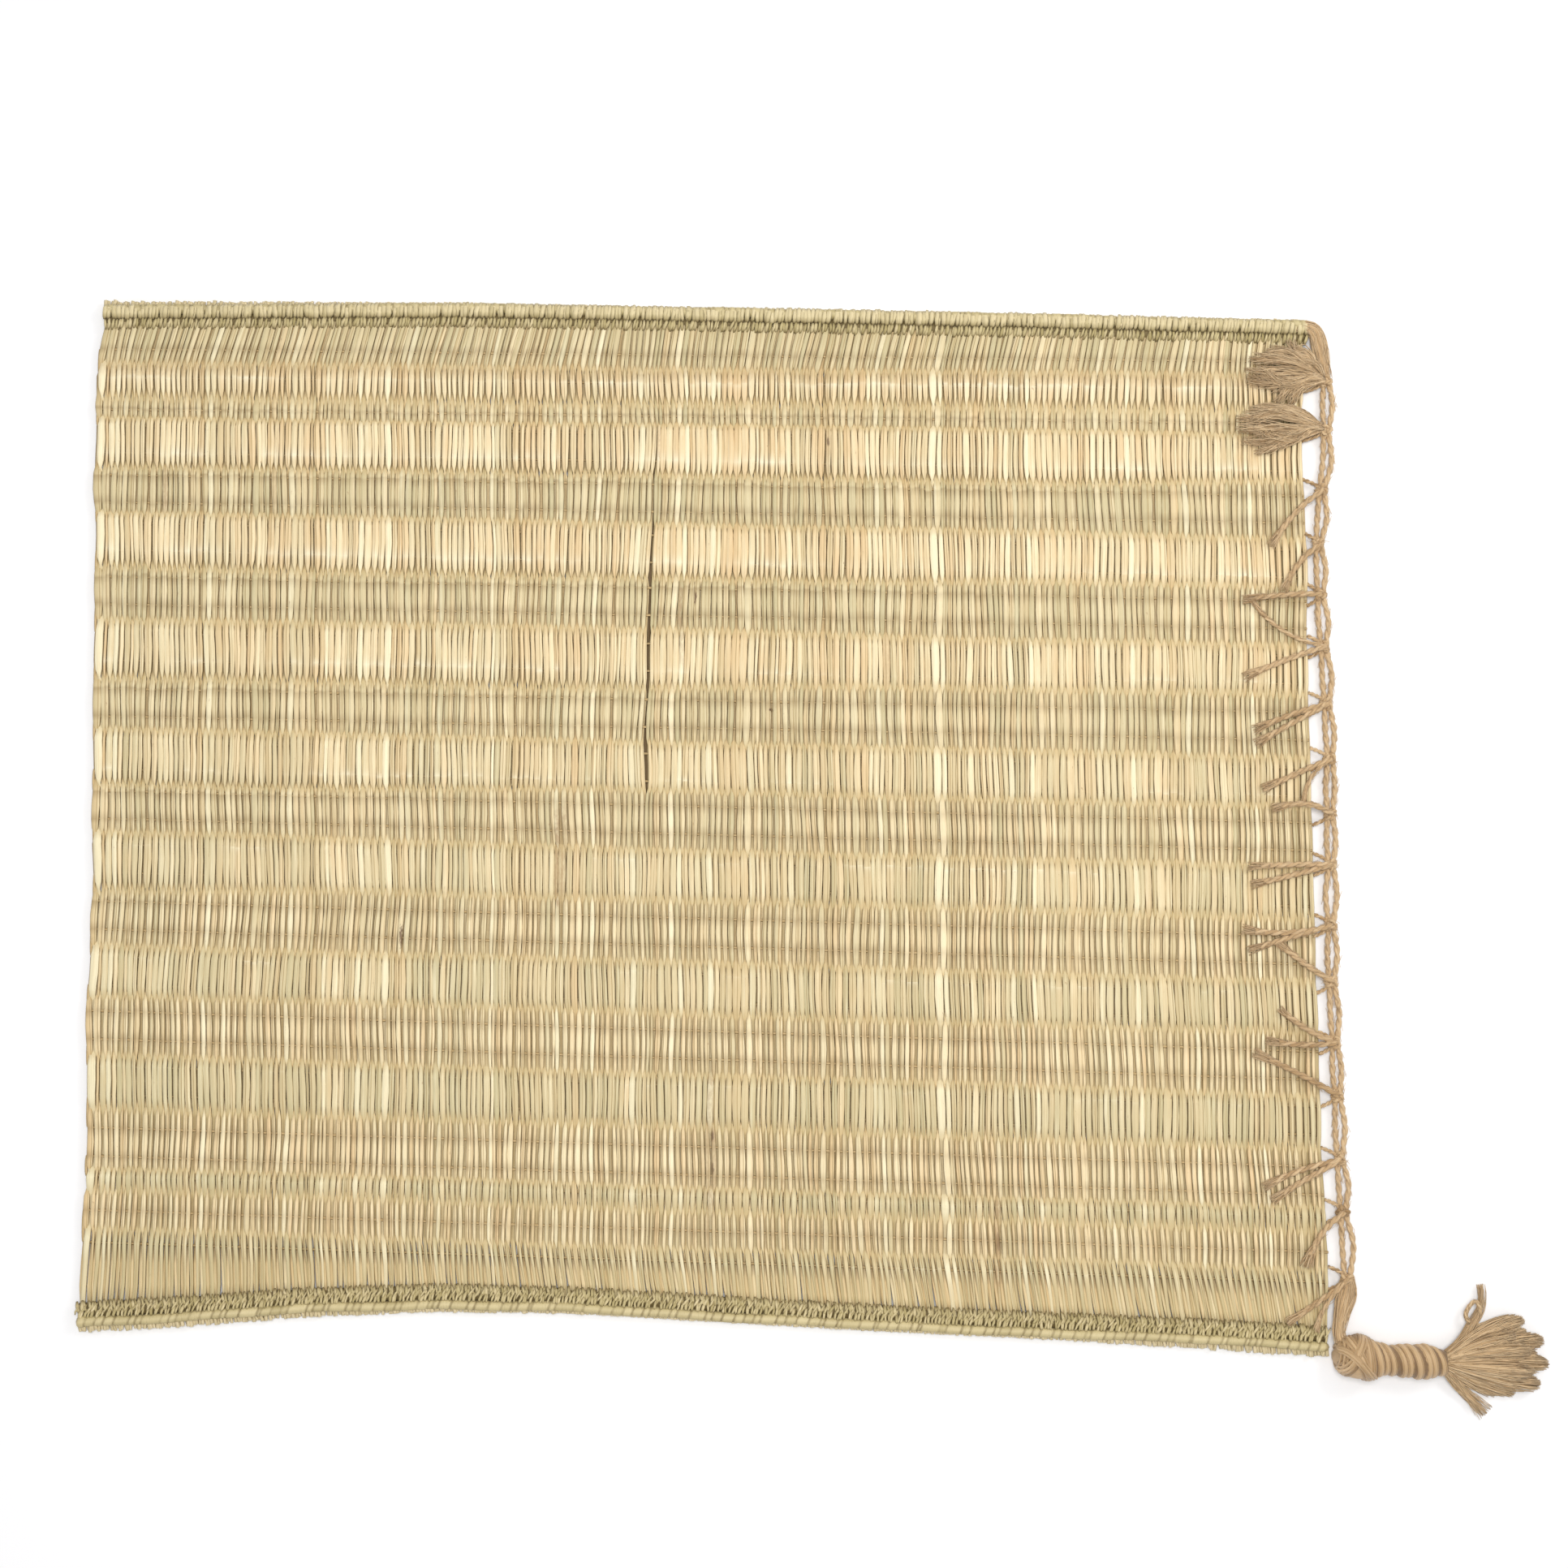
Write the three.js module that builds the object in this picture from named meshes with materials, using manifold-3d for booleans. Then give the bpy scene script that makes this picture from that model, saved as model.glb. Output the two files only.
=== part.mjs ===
// Kusha grass mat, lying flat on a floor.
//
// Long grass stems run from the lower edge to the upper one, over and under hidden twine, in two
// sets that take turns on top, so the face shows level rows. Both ends are rolled into a plaited
// selvedge. On the right the twine comes out in pairs that are knotted one below the other into an
// edge cord with its tails laid back on the grass, and ends in a wrapped knot with a brush.
//
// Millimetres. X runs along the twine, Y along the stems, Z up. The tables are written about the
// middle of the grass, and the whole mat is moved at the end so that the middle of its footprint
// is the origin.

import * as THREE from 'three';
import { mergeVertices } from 'three/addons/utils/BufferGeometryUtils.js';
import Module from 'manifold-3d';

const wasm = await Module();
wasm.setup();

// Driving dimensions

const GAP = 0.3;                 // between neighbouring pieces
const STRING_PITCH = 13.6;       // between the two twines that share a row
const VALLEY_HEIGHT = 3.5;       // face where one set of stems dives under the other
const EDGE_HEIGHT = 3.7;         // face along the grass's own edge
const STRING_HEIGHT = { A: 4.5, B: 4.9 };
const ROW_HEIGHT = { A: 4.8, B: 4.6 };
const FACE_HEIGHT = 4.9;         // highest point of the woven face
const LOOP_BULGE = 1.0;          // twine turned round the outermost stem
const COLUMNS_LEFT = 11;         // grid columns left of the slit
const COLUMNS_RIGHT = 13;        // grid columns right of the slit
const SLIT_HALF_WIDTH = 1.0;
const SLIT_DEPTH = 3.0;
const SELVEDGE_WIDTH = 10.2;
const SELVEDGE_STEP = 12.0;
const SELVEDGE_HEIGHT = 6.6;     // highest point of a selvedge
const SELVEDGE_APPROACH = 2.0;   // a tail starts to climb this far before a selvedge
const STRAND_RADIUS = 2.05;      // one strand of the edge cord
const STRAND_SIDES = 6;
const STRAND_STEPS = 3;          // along a strand, for each knot
const TAIL_HALF_WIDTH = 2.0;
const THIN_TAIL_HALF_WIDTH = 1.2;
const TAIL_HALF_HEIGHT = 1.5;
const TAIL_TIP_HALF_HEIGHT = 1.1;
const TAIL_STEPS = 4;
const FRAY_START = 0.8;          // share of a tail's length where it starts to fray
const KNOT_HALF_SIZE = new THREE.Vector3(3.6, 4.2, 3.4);
const KNOT_INSET = 0.4;          // of a knot's middle towards the grass
const KNOT_AROUND = 6;
const KNOT_UPRIGHT = 5;
const TWINE_RADIUS = 1.0;
const TWINE_HEIGHT = { atKnot: 2.6, atGrass: 2.2 };
const TWINE_SPREAD = { atKnot: 1.0, atGrass: 5.5 };  // of the two twines of a knot
const TAIL_ROOT_HEIGHT = 6.0;    // middle of a tail where it leaves its knot
const FEEDER_GAP = 0.8;          // from a twine's cut end to the grass, as the end stands askew

const OUTLINE_LEFT = [
  { y: 242, x: -301.0 },
  { y: 220, x: -304.2 },
  { y: 193, x: -303.8 },
  { y: 93, x: -302.4 },
  { y: 12, x: -301.6 },
  { y: -44, x: -299.8 },
  { y: -95, x: -302.0 },
  { y: -162, x: -300.4 },
  { y: -205, x: -301.6 },
  { y: -244, x: -302.8 },
];

const OUTLINE_RIGHT = [
  { y: 232, x: 300.4 },
  { y: 170, x: 298.8 },
  { y: 128, x: 300.3 },
  { y: 41, x: 300.2 },
  { y: -20, x: 301.0 },
  { y: -63, x: 300.6 },
  { y: -120, x: 302.2 },
  { y: -165, x: 302.3 },
  { y: -218, x: 305.3 },
  { y: -255, x: 303.6 },
];

// Where each selvedge meets the grass
const SELVEDGE_TOP = [
  { x: -301, y: 240.0 },
  { x: -125, y: 240.8 },
  { x: 53, y: 237.8 },
  { x: 175, y: 235.3 },
  { x: 299, y: 231.9 },
];

const SELVEDGE_BOTTOM = [
  { x: -303, y: -243.0 },
  { x: -254, y: -240.6 },
  { x: -191, y: -236.3 },
  { x: -128, y: -234.4 },
  { x: -65, y: -236.0 },
  { x: 14, y: -240.4 },
  { x: 92, y: -244.8 },
  { x: 249, y: -251.4 },
  { x: 303, y: -254.6 },
];

// Rows of the weave from the top: which set of stems is on top, over how many twines, and the
// height of the row's middle at the left and the right edge
const ROWS = [
  { top: 'A', strings: 1, left: 228.2, right: 221.6 },
  { top: 'B', strings: 1, left: 213.7, right: 207.6 },
  { top: 'A', strings: 1, left: 202.2, right: 193.6 },
  { top: 'B', strings: 2, left: 182.7, right: 173.0 },
  { top: 'A', strings: 2, left: 158.9, right: 146.8 },
  { top: 'B', strings: 2, left: 133.8, right: 119.5 },
  { top: 'A', strings: 2, left: 106.5, right: 93.9 },
  { top: 'B', strings: 2, left: 78.5, right: 66.4 },
  { top: 'A', strings: 2, left: 50.6, right: 38.5 },
  { top: 'B', strings: 2, left: 24.5, right: 10.8 },
  { top: 'A', strings: 2, left: 0.0, right: -16.0 },
  { top: 'B', strings: 2, left: -26.4, right: -43.5 },
  { top: 'A', strings: 2, left: -54.3, right: -71.8 },
  { top: 'B', strings: 2, left: -81.3, right: -99.5 },
  { top: 'A', strings: 2, left: -107.8, right: -127.9 },
  { top: 'B', strings: 2, left: -134.6, right: -154.6 },
  { top: 'A', strings: 2, left: -162.8, right: -183.1 },
  { top: 'B', strings: 1, left: -180.8, right: -201.1 },
  { top: 'A', strings: 1, left: -197.2, right: -217.8 },
  { top: 'B', strings: 1, left: -212.8, right: -232.2 },
];

// A slit between two stems, dark where it opens
const SLIT = [
  { y: 172, x: -25.0, open: 0.3 },
  { y: 138, x: -26.3, open: 0.5 },
  { y: 93, x: -28.4, open: 1.0 },
  { y: 58, x: -28.4, open: 0.8 },
  { y: 34, x: -29.0, open: 1.0 },
  { y: 13, x: -29.0, open: 1.0 },
];

// Knots of the edge cord from the top, and where its two strands run midway to the next knot
const KNOTS = [
  { y: 211.7, x: 310.4, inner: 308.5, outer: 313.4 },
  { y: 187.0, x: 309.9, inner: 308.1, outer: 312.5 },
  { y: 156.6, x: 307.4, inner: 304.9, outer: 309.6 },
  { y: 129.3, x: 305.2, inner: 304.0, outer: 308.7 },
  { y: 104.1, x: 305.6, inner: 304.5, outer: 309.5 },
  { y: 78.1, x: 306.7, inner: 305.9, outer: 310.6 },
  { y: 49.8, x: 307.8, inner: 306.9, outer: 311.3 },
  { y: 22.4, x: 308.9, inner: 306.6, outer: 311.1 },
  { y: -4.8, x: 308.4, inner: 306.5, outer: 311.0 },
  { y: -29.6, x: 308.4, inner: 305.6, outer: 311.2 },
  { y: -59.5, x: 307.8, inner: 305.9, outer: 310.8 },
  { y: -87.2, x: 307.7, inner: 306.9, outer: 311.2 },
  { y: -116.8, x: 308.7, inner: 307.4, outer: 311.8 },
  { y: -142.4, x: 309.5, inner: 308.2, outer: 313.0 },
  { y: -173.0, x: 310.1, inner: 309.4, outer: 314.2 },
  { y: -198.0, x: 311.2, inner: 310.6, outer: 316.0 },
  { y: -230.2, x: 312.5, inner: 308.0, outer: 316.6 },
];
const CORD_END = { y: -256.2, x: 310.2 };
const STRAND_OFFSET = { inKnot: 1.3, atEnd: 2.2 };   // of each strand from the cord's middle

// Thick turn of both strands round the end of the selvedge at the top corner
const CORNER_TURN = [
  { innerX: 302.6, innerY: 238.8, outerX: 302.6, outerY: 242.6, height: 4.3 },
  { innerX: 304.6, innerY: 236.6, outerX: 306.8, outerY: 240.6, height: 4.0 },
  { innerX: 305.6, innerY: 231.0, outerX: 308.6, outerY: 234.0, height: 3.4 },
  { innerX: 305.8, innerY: 221.8, outerX: 308.6, outerY: 221.8, height: 2.4 },
];

// Tails laid back from the knots: which knot, length, heading where it leaves, how far it turns
// by its tip, how wide the frayed tip is, and how far it stands off the grass
const TAILS = [
  { knot: 3, length: 40, heading: 213, turn: 29, tip: 3.0, lift: 0 },
  { knot: 4, length: 31, heading: 215, turn: 33, tip: 2.6, lift: 0 },
  { knot: 5, length: 40, heading: 179, turn: 11, tip: 3.0, lift: 0 },
  { knot: 6, length: 45, heading: 198, turn: 6, tip: 3.2, lift: 0 },
  { knot: 6, length: 45, heading: 172, turn: -50, tip: 1.4, lift: 0 },
  { knot: 7, length: 41, heading: 195, turn: 10, tip: 2.6, lift: 0 },
  { knot: 7, length: 43, heading: 208, turn: 2, tip: 2.8, lift: 0 },
  { knot: 8, length: 38, heading: 202, turn: 4, tip: 2.8, lift: 0 },
  { knot: 8, length: 28, heading: 208, turn: 58, tip: 1.2, lift: 0 },
  { knot: 9, length: 31, heading: 150, turn: 52, tip: 2.6, lift: 4 },
  { knot: 10, length: 43, heading: 180, turn: 3, tip: 2.6, lift: 0 },
  { knot: 10, length: 43, heading: 196, turn: -4, tip: 2.4, lift: 0 },
  { knot: 11, length: 46, heading: 196, turn: -28, tip: 2.6, lift: 0 },
  { knot: 11, length: 45, heading: 194, turn: 6, tip: 2.4, lift: 0 },
  { knot: 12, length: 35, heading: 150, turn: -12, tip: 3.0, lift: 0 },
  { knot: 13, length: 33, heading: 161, turn: -26, tip: 2.6, lift: 0 },
  { knot: 13, length: 35, heading: 186, turn: -16, tip: 2.4, lift: 0 },
  { knot: 14, length: 47, heading: 149, turn: 8, tip: 2.8, lift: 0 },
  { knot: 15, length: 42, heading: 189, turn: 20, tip: 2.6, lift: 0 },
  { knot: 15, length: 41, heading: 206, turn: 8, tip: 2.6, lift: 0 },
  { knot: 16, length: 34, heading: 213, turn: 42, tip: 4.0, lift: 0 },
  { knot: 17, length: 37, heading: 217, turn: -6, tip: 2.4, lift: 0 },
  { knot: 17, length: 31, heading: 214, turn: 46, tip: 1.8, lift: 2 },
];

// Frayed tassels on the first two knots: fans of locks that lie on the grass
const TASSELS = [
  { name: 'tassel_upper', x: 301.6, y: 212.9, from: 138, to: 199, longest: 34, shortest: 20 },
  { name: 'tassel_lower', x: 301.0, y: 188.4, from: 160, to: 208, longest: 38, shortest: 30 },
];
const TASSEL_LOCKS = 9;
const TASSEL_HEAD = new THREE.Vector3(4.0, 4.6, 3.0);
const TASSEL_LAYERS = [
  { halfHeight: 1.2, lift: 0, share: 1 },
  { halfHeight: 1.5, lift: 2.0, share: 0.94 },
];
const TASSEL_LOCK = { rootHalf: 1.6, bodyHalf: 2.3, turn: 8, steps: 4 };

// Wrapped knot at the lower right corner, its half width and middle along its length
const CORNER_KNOT = [
  { x: 304.6, half: 3.0 },
  { x: 306.5, half: 7.2 },
  { x: 310.0, half: 10.2 },
  { x: 315.0, half: 11.5 },
  { x: 320.5, half: 10.6 },
  { x: 327.0, half: 8.8 },
  { x: 333.0, half: 8.5 },
  { x: 341.0, half: 9.3 },
  { x: 348.0, half: 9.5 },
  { x: 354.0, half: 8.2 },
  { x: 358.2, half: 7.0 },
];
const CORNER_KNOT_Y = [
  { x: 304, y: -267.2 },
  { x: 315, y: -266.6 },
  { x: 331, y: -268.4 },
  { x: 358, y: -269.4 },
];
const KNOT_FLATNESS = 0.84;      // height of the knot against its width
const KNOT_SIDES = 14;
const WRAP_START = 322;
const WRAP_END = 356;
const WRAP_PITCH = 4.1;
const WRAP_HEIGHT = 0.55;
const WRAP_SLANT = 0.9;          // how far a wrap runs on along the knot from its foot to its crown
const BULB = {
  places: [304.6, 306.0, 308.5, 311.5, 315, 318.5],
  lobes: 3,
  lobeHeight: 0.6,
  lobeTwist: 0.25,
};

// Brush beyond the knot: three layers of a fan, and two locks that stand apart from it
const BRUSH_ROOT = { x: 358.6, y: -269.4, length: 7.0, half: 6.4, endHalf: 7.8 };
const BRUSH_LAYERS = [
  { locks: 11, from: 40, to: -25, longest: 46.5, level: 0, halfWidth: 2.4, halfHeight: 1.9 },
  { locks: 9, from: 32, to: -19, longest: 43.0, level: 3.4, halfWidth: 2.4, halfHeight: 1.8 },
  { locks: 6, from: 22, to: -12, longest: 38.0, level: 6.6, halfWidth: 2.2, halfHeight: 1.5 },
];
const BRUSH_SHORTENING = 0.16;   // how much shorter the outer locks of a layer are
const BRUSH_LOCK = {
  inset: 3.0,
  spread: 4.0,
  rootShare: 0.7,
  tipShare: 0.75,
  bend: -0.12,
  unevenShare: 0.95,
};
const STRAY_LOCKS = [
  { heading: 42, turn: 52, length: 36, halfWidth: 2.0, tip: 2.2 },
  { heading: -50, turn: 2, length: 27, halfWidth: 2.6, tip: 4.6 },
];
const STRAY_ROOT = { aside: 4.5, halfHeight: 1.6 };

const COLOURS = { grass: 0xe2cf9f, selvedge: 0xafa36e, jute: 0xb99b70, brush: 0xc2a274 };

// Small helpers

const lerp = (a, b, t) => a + (b - a) * t;
const radians = (degrees) => degrees * Math.PI / 180;

// Reads a value between the rows of a table whose key only grows or only falls
function readTable(table, key, value, at) {
  const grows = table[table.length - 1][key] > table[0][key];
  for (let i = 1; i < table.length; i += 1) {
    const inside = grows ? at <= table[i][key] : at >= table[i][key];
    if (inside || i === table.length - 1) {
      const share = (at - table[i - 1][key]) / (table[i][key] - table[i - 1][key]);
      return lerp(table[i - 1][value], table[i][value], THREE.MathUtils.clamp(share, 0, 1));
    }
  }
  return table[0][value];
}

function geometryFrom(points, triangles) {
  const geometry = new THREE.BufferGeometry();
  const flat = new Float32Array(points.length * 3);
  points.forEach((point, i) => point.toArray(flat, i * 3));
  geometry.setAttribute('position', new THREE.BufferAttribute(flat, 3));
  geometry.setIndex(triangles);
  geometry.computeVertexNormals();
  return geometry;
}

// A closed skin over rings of equal count, with a flat cap at each end
function skinOver(rings) {
  const sides = rings[0].length;
  const points = rings.flat();
  const triangles = [];
  for (let i = 0; i + 1 < rings.length; i += 1) {
    for (let j = 0; j < sides; j += 1) {
      const a = i * sides + j;
      const b = i * sides + (j + 1) % sides;
      triangles.push(a, b, a + sides, b, b + sides, a + sides);
    }
  }
  const last = (rings.length - 1) * sides;
  for (let j = 1; j + 1 < sides; j += 1) {
    triangles.push(0, j + 1, j);
    triangles.push(last, last + j, last + j + 1);
  }
  return geometryFrom(points, triangles);
}

// A ring of points upright across a heading, with a flat side downward
function ringAt(centre, heading, halfWidth, halfHeight, sides) {
  const start = Math.PI / 2 - Math.PI / sides;
  const reach = 1 / Math.cos(Math.PI / sides);
  const ring = [];
  for (let j = 0; j < sides; j += 1) {
    const angle = start + 2 * Math.PI * j / sides;
    const across = Math.cos(angle) * halfWidth * reach;
    const up = Math.sin(angle) * halfHeight * reach;
    ring.push(new THREE.Vector3(
      centre.x - Math.sin(heading) * across,
      centre.y + Math.cos(heading) * across,
      centre.z + up,
    ));
  }
  return ring;
}

// A tube over a curve that runs mostly level
function tubeAlong(curve, steps, halfWidth, halfHeight, sides) {
  const rings = [];
  for (let i = 0; i <= steps; i += 1) {
    const t = i / steps;
    const tangent = curve.getTangent(t);
    const heading = Math.atan2(tangent.y, tangent.x);
    const centre = curve.getPoint(t);
    centre.z = Math.max(centre.z, halfHeight(t));
    rings.push(ringAt(centre, heading, halfWidth(t), halfHeight(t), sides));
  }
  return skinOver(rings);
}

// The points of an even bend in plan: heading at the root, and the turn by the tip, in degrees
function bendPoints(root, length, heading, turn, steps) {
  const points = [root.clone()];
  for (let i = 0; i < steps; i += 1) {
    const angle = radians(heading + turn * (i + 0.5) / steps);
    const step = new THREE.Vector3(Math.cos(angle), Math.sin(angle), 0).multiplyScalar(length / steps);
    points.push(points[i].clone().add(step));
  }
  return points;
}

function ellipsoid(centre, half, around, upright) {
  const geometry = new THREE.SphereGeometry(1, around, upright);
  geometry.rotateX(Math.PI / 2);
  geometry.scale(half.x, half.y, half.z);
  geometry.translate(centre.x, centre.y, centre.z);
  return geometry;
}

function solidOf(geometry) {
  const bare = geometry.clone();
  bare.deleteAttribute('normal');
  bare.deleteAttribute('uv');
  const merged = mergeVertices(bare, 1e-4);
  return new wasm.Manifold(new wasm.Mesh({
    numProp: 3,
    vertProperties: new Float32Array(merged.attributes.position.array),
    triVerts: new Uint32Array(merged.index.array),
  }));
}

function fuse(geometries) {
  let whole = solidOf(geometries[0]);
  for (const geometry of geometries.slice(1)) whole = whole.add(solidOf(geometry));
  const mesh = whole.getMesh();
  const geometry = new THREE.BufferGeometry();
  geometry.setAttribute('position', new THREE.BufferAttribute(mesh.vertProperties, 3));
  geometry.setIndex(new THREE.BufferAttribute(mesh.triVerts, 1));
  geometry.computeVertexNormals();
  return geometry;
}

function named(name, geometry, colour, roughness) {
  const material = new THREE.MeshStandardMaterial({ color: colour, roughness, metalness: 0 });
  const mesh = new THREE.Mesh(geometry, material);
  mesh.name = name;
  return mesh;
}

// Grass field

// Level lines of the weave from the top: every twine, the middle of each double row, and the
// valley between neighbouring rows
function weaveLines() {
  const lines = [];
  let foot = null;
  for (const row of ROWS) {
    const reach = row.strings === 2 ? STRING_PITCH / 2 : 0;
    const head = { left: row.left + reach, right: row.right + reach };
    if (foot) {
      lines.push({
        left: (foot.left + head.left) / 2,
        right: (foot.right + head.right) / 2,
        height: VALLEY_HEIGHT,
        bulge: LOOP_BULGE,
      });
    }
    if (row.strings === 2) {
      lines.push({ ...head, height: STRING_HEIGHT[row.top], bulge: 0 });
      lines.push({ left: row.left, right: row.right, height: ROW_HEIGHT[row.top], bulge: 0 });
    }
    foot = { left: row.left - reach, right: row.right - reach };
    lines.push({ ...foot, height: STRING_HEIGHT[row.top], bulge: 0 });
  }
  return lines;
}

// Where the grass meets a selvedge, from the left edge to the right one
function fieldEnd(table, side) {
  return (share) => {
    const x = lerp(table[0].x, table[table.length - 1].x, share);
    return readTable(table, 'x', 'y', x) - side * GAP;
  };
}

function fieldColumns() {
  const columns = [];
  for (let i = 0; i < COLUMNS_LEFT; i += 1) columns.push({ of: 'left', share: i / COLUMNS_LEFT });
  for (const offset of [-1, 0, 1]) columns.push({ of: 'slit', offset });
  for (let i = 1; i <= COLUMNS_RIGHT; i += 1) columns.push({ of: 'right', share: i / COLUMNS_RIGHT });
  return columns;
}

function columnX(column, y, bulge) {
  const left = readTable(OUTLINE_LEFT, 'y', 'x', y) - bulge;
  const right = readTable(OUTLINE_RIGHT, 'y', 'x', y);
  const slit = readTable(SLIT, 'y', 'x', y);
  if (column.of === 'left') return lerp(left, slit - SLIT_HALF_WIDTH, column.share);
  if (column.of === 'right') return lerp(slit + SLIT_HALF_WIDTH, right, column.share);
  return slit + column.offset * SLIT_HALF_WIDTH;
}

function slitDepth(column, y) {
  const inRange = y <= SLIT[0].y && y >= SLIT[SLIT.length - 1].y;
  if (column.of !== 'slit' || column.offset !== 0 || !inRange) return 0;
  return SLIT_DEPTH * readTable(SLIT, 'y', 'open', y);
}

function makeField() {
  const columns = fieldColumns();
  const topEnd = fieldEnd(SELVEDGE_TOP, 1);
  const bottomEnd = fieldEnd(SELVEDGE_BOTTOM, -1);
  const lines = weaveLines();
  const firstShare = (column) => (columnX(column, 0, 0) - columnX(columns[0], 0, 0))
    / (columnX(columns[columns.length - 1], 0, 0) - columnX(columns[0], 0, 0));
  const grid = [];
  const addLine = (height, bulge, yAt) => {
    grid.push(columns.map((column, i) => {
      const y = yAt(firstShare(column));
      const atRim = i === 0 || i === columns.length - 1;
      const rest = atRim ? Math.min(height, EDGE_HEIGHT) : height;
      return new THREE.Vector3(columnX(column, y, bulge), y, rest - slitDepth(column, y));
    }));
  };
  addLine(EDGE_HEIGHT, 0, topEnd);
  for (const { left, right, height, bulge } of lines) {
    addLine(height, bulge, (share) => lerp(left, right, share));
  }
  addLine(EDGE_HEIGHT, 0, bottomEnd);

  const width = columns.length;
  const points = grid.flat();
  const triangles = [];
  for (let i = 0; i + 1 < grid.length; i += 1) {
    for (let j = 0; j + 1 < width; j += 1) {
      const a = i * width + j;
      triangles.push(a, a + width, a + 1, a + 1, a + width, a + width + 1);
    }
  }
  const rim = [];
  for (let j = 0; j < width; j += 1) rim.push(j);
  for (let i = 1; i < grid.length; i += 1) rim.push(i * width + width - 1);
  for (let j = width - 2; j >= 0; j -= 1) rim.push((grid.length - 1) * width + j);
  for (let i = grid.length - 2; i >= 1; i -= 1) rim.push(i * width);
  const foot = points.length;
  const outline = rim.map((index) => new THREE.Vector2(points[index].x, points[index].y));
  outline.forEach((corner) => points.push(new THREE.Vector3(corner.x, corner.y, 0)));
  rim.forEach((index, k) => {
    const next = (k + 1) % rim.length;
    triangles.push(index, rim[next], foot + k, rim[next], foot + next, foot + k);
  });
  for (const [a, b, c] of THREE.ShapeUtils.triangulateShape(outline, [])) {
    triangles.push(foot + a, foot + c, foot + b);
  }
  return geometryFrom(points, triangles);
}

// Selvedges

// Section across a selvedge from its outer foot: how far in from the outer side, how high, and
// whether that height is uneven along the edge. The roll comes first, then the row of knots.
const SELVEDGE_SECTION = [
  { inward: 0.8, height: 0, moves: 0 },
  { inward: 0.0, height: 1.8, moves: 0 },
  { inward: 0.5, height: 4.2, moves: 0 },
  { inward: 2.2, height: 6.0, moves: 1 },
  { inward: 4.4, height: 5.9, moves: 1 },
  { inward: 6.1, height: 4.3, moves: 0 },
  { inward: 8.0, height: 5.0, moves: 1 },
  { inward: 10.2, height: 3.8, moves: 0 },
  { inward: 10.2, height: 0, moves: 0 },
];
const END_TAPER = [{ inset: 0, share: 0.72 }, { inset: 1.6, share: 0.93 }];

// A rolled, plaited edge; outward is +1 at the top edge and -1 at the bottom one
function makeSelvedge(table, outward) {
  const first = table[0].x;
  const last = table[table.length - 1].x;
  const steps = Math.round((last - first) / SELVEDGE_STEP);
  const places = END_TAPER.map((end) => ({ x: first + end.inset, share: end.share }));
  for (let i = 1; i < steps; i += 1) places.push({ x: lerp(first, last, i / steps), share: 1 });
  for (const end of [...END_TAPER].reverse()) places.push({ x: last - end.inset, share: end.share });
  const rings = places.map(({ x, share }) => {
    const inner = readTable(table, 'x', 'y', x);
    const uneven = 0.25 * Math.sin(x / 9) + 0.2 * Math.sin(x / 23 + 1);
    return SELVEDGE_SECTION.map(({ inward, height, moves }) => new THREE.Vector3(
      x,
      inner + outward * ((SELVEDGE_WIDTH - inward) * lerp(0.9, 1, share) + (inward < 5 ? uneven : 0)),
      height * share + moves * uneven,
    ));
  });
  if (outward < 0) rings.forEach((ring) => ring.reverse());
  return skinOver(rings);
}

// Edge cord, its knots and tails

// Height on which a loose tail lies at a place in plan
function restingHeight(x, y) {
  const onSelvedge = y < readTable(SELVEDGE_BOTTOM, 'x', 'y', x) + SELVEDGE_APPROACH;
  return (onSelvedge ? SELVEDGE_HEIGHT : FACE_HEIGHT) + GAP;
}

function strandCurve(side) {
  const key = side < 0 ? 'inner' : 'outer';
  const points = CORNER_TURN.map((turn) => new THREE.Vector3(turn[`${key}X`], turn[`${key}Y`], turn.height));
  KNOTS.forEach((knot, i) => {
    const next = KNOTS[i + 1] || CORD_END;
    points.push(new THREE.Vector3(knot.x + side * STRAND_OFFSET.inKnot, knot.y, STRAND_RADIUS));
    points.push(new THREE.Vector3(knot[key], (knot.y + next.y) / 2, STRAND_RADIUS));
  });
  points.push(new THREE.Vector3(CORD_END.x + side * STRAND_OFFSET.atEnd, CORD_END.y, STRAND_RADIUS));
  return new THREE.CatmullRomCurve3(points);
}

function makeKnot(knot) {
  const centre = new THREE.Vector3(knot.x - KNOT_INSET, knot.y, KNOT_HALF_SIZE.z);
  return ellipsoid(centre, KNOT_HALF_SIZE, KNOT_AROUND, KNOT_UPRIGHT);
}

// The two twines that come out of the grass to a knot
function makeFeeders(knot) {
  return [-1, 1].map((side) => {
    const from = new THREE.Vector3(knot.x, knot.y + side * TWINE_SPREAD.atKnot, TWINE_HEIGHT.atKnot);
    const y = knot.y + side * TWINE_SPREAD.atGrass;
    const edge = readTable(OUTLINE_RIGHT, 'y', 'x', y) + FEEDER_GAP;
    const feeder = new THREE.LineCurve3(from, new THREE.Vector3(edge, y, TWINE_HEIGHT.atGrass));
    return tubeAlong(feeder, 1, () => TWINE_RADIUS, () => TWINE_RADIUS, 4);
  });
}

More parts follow.
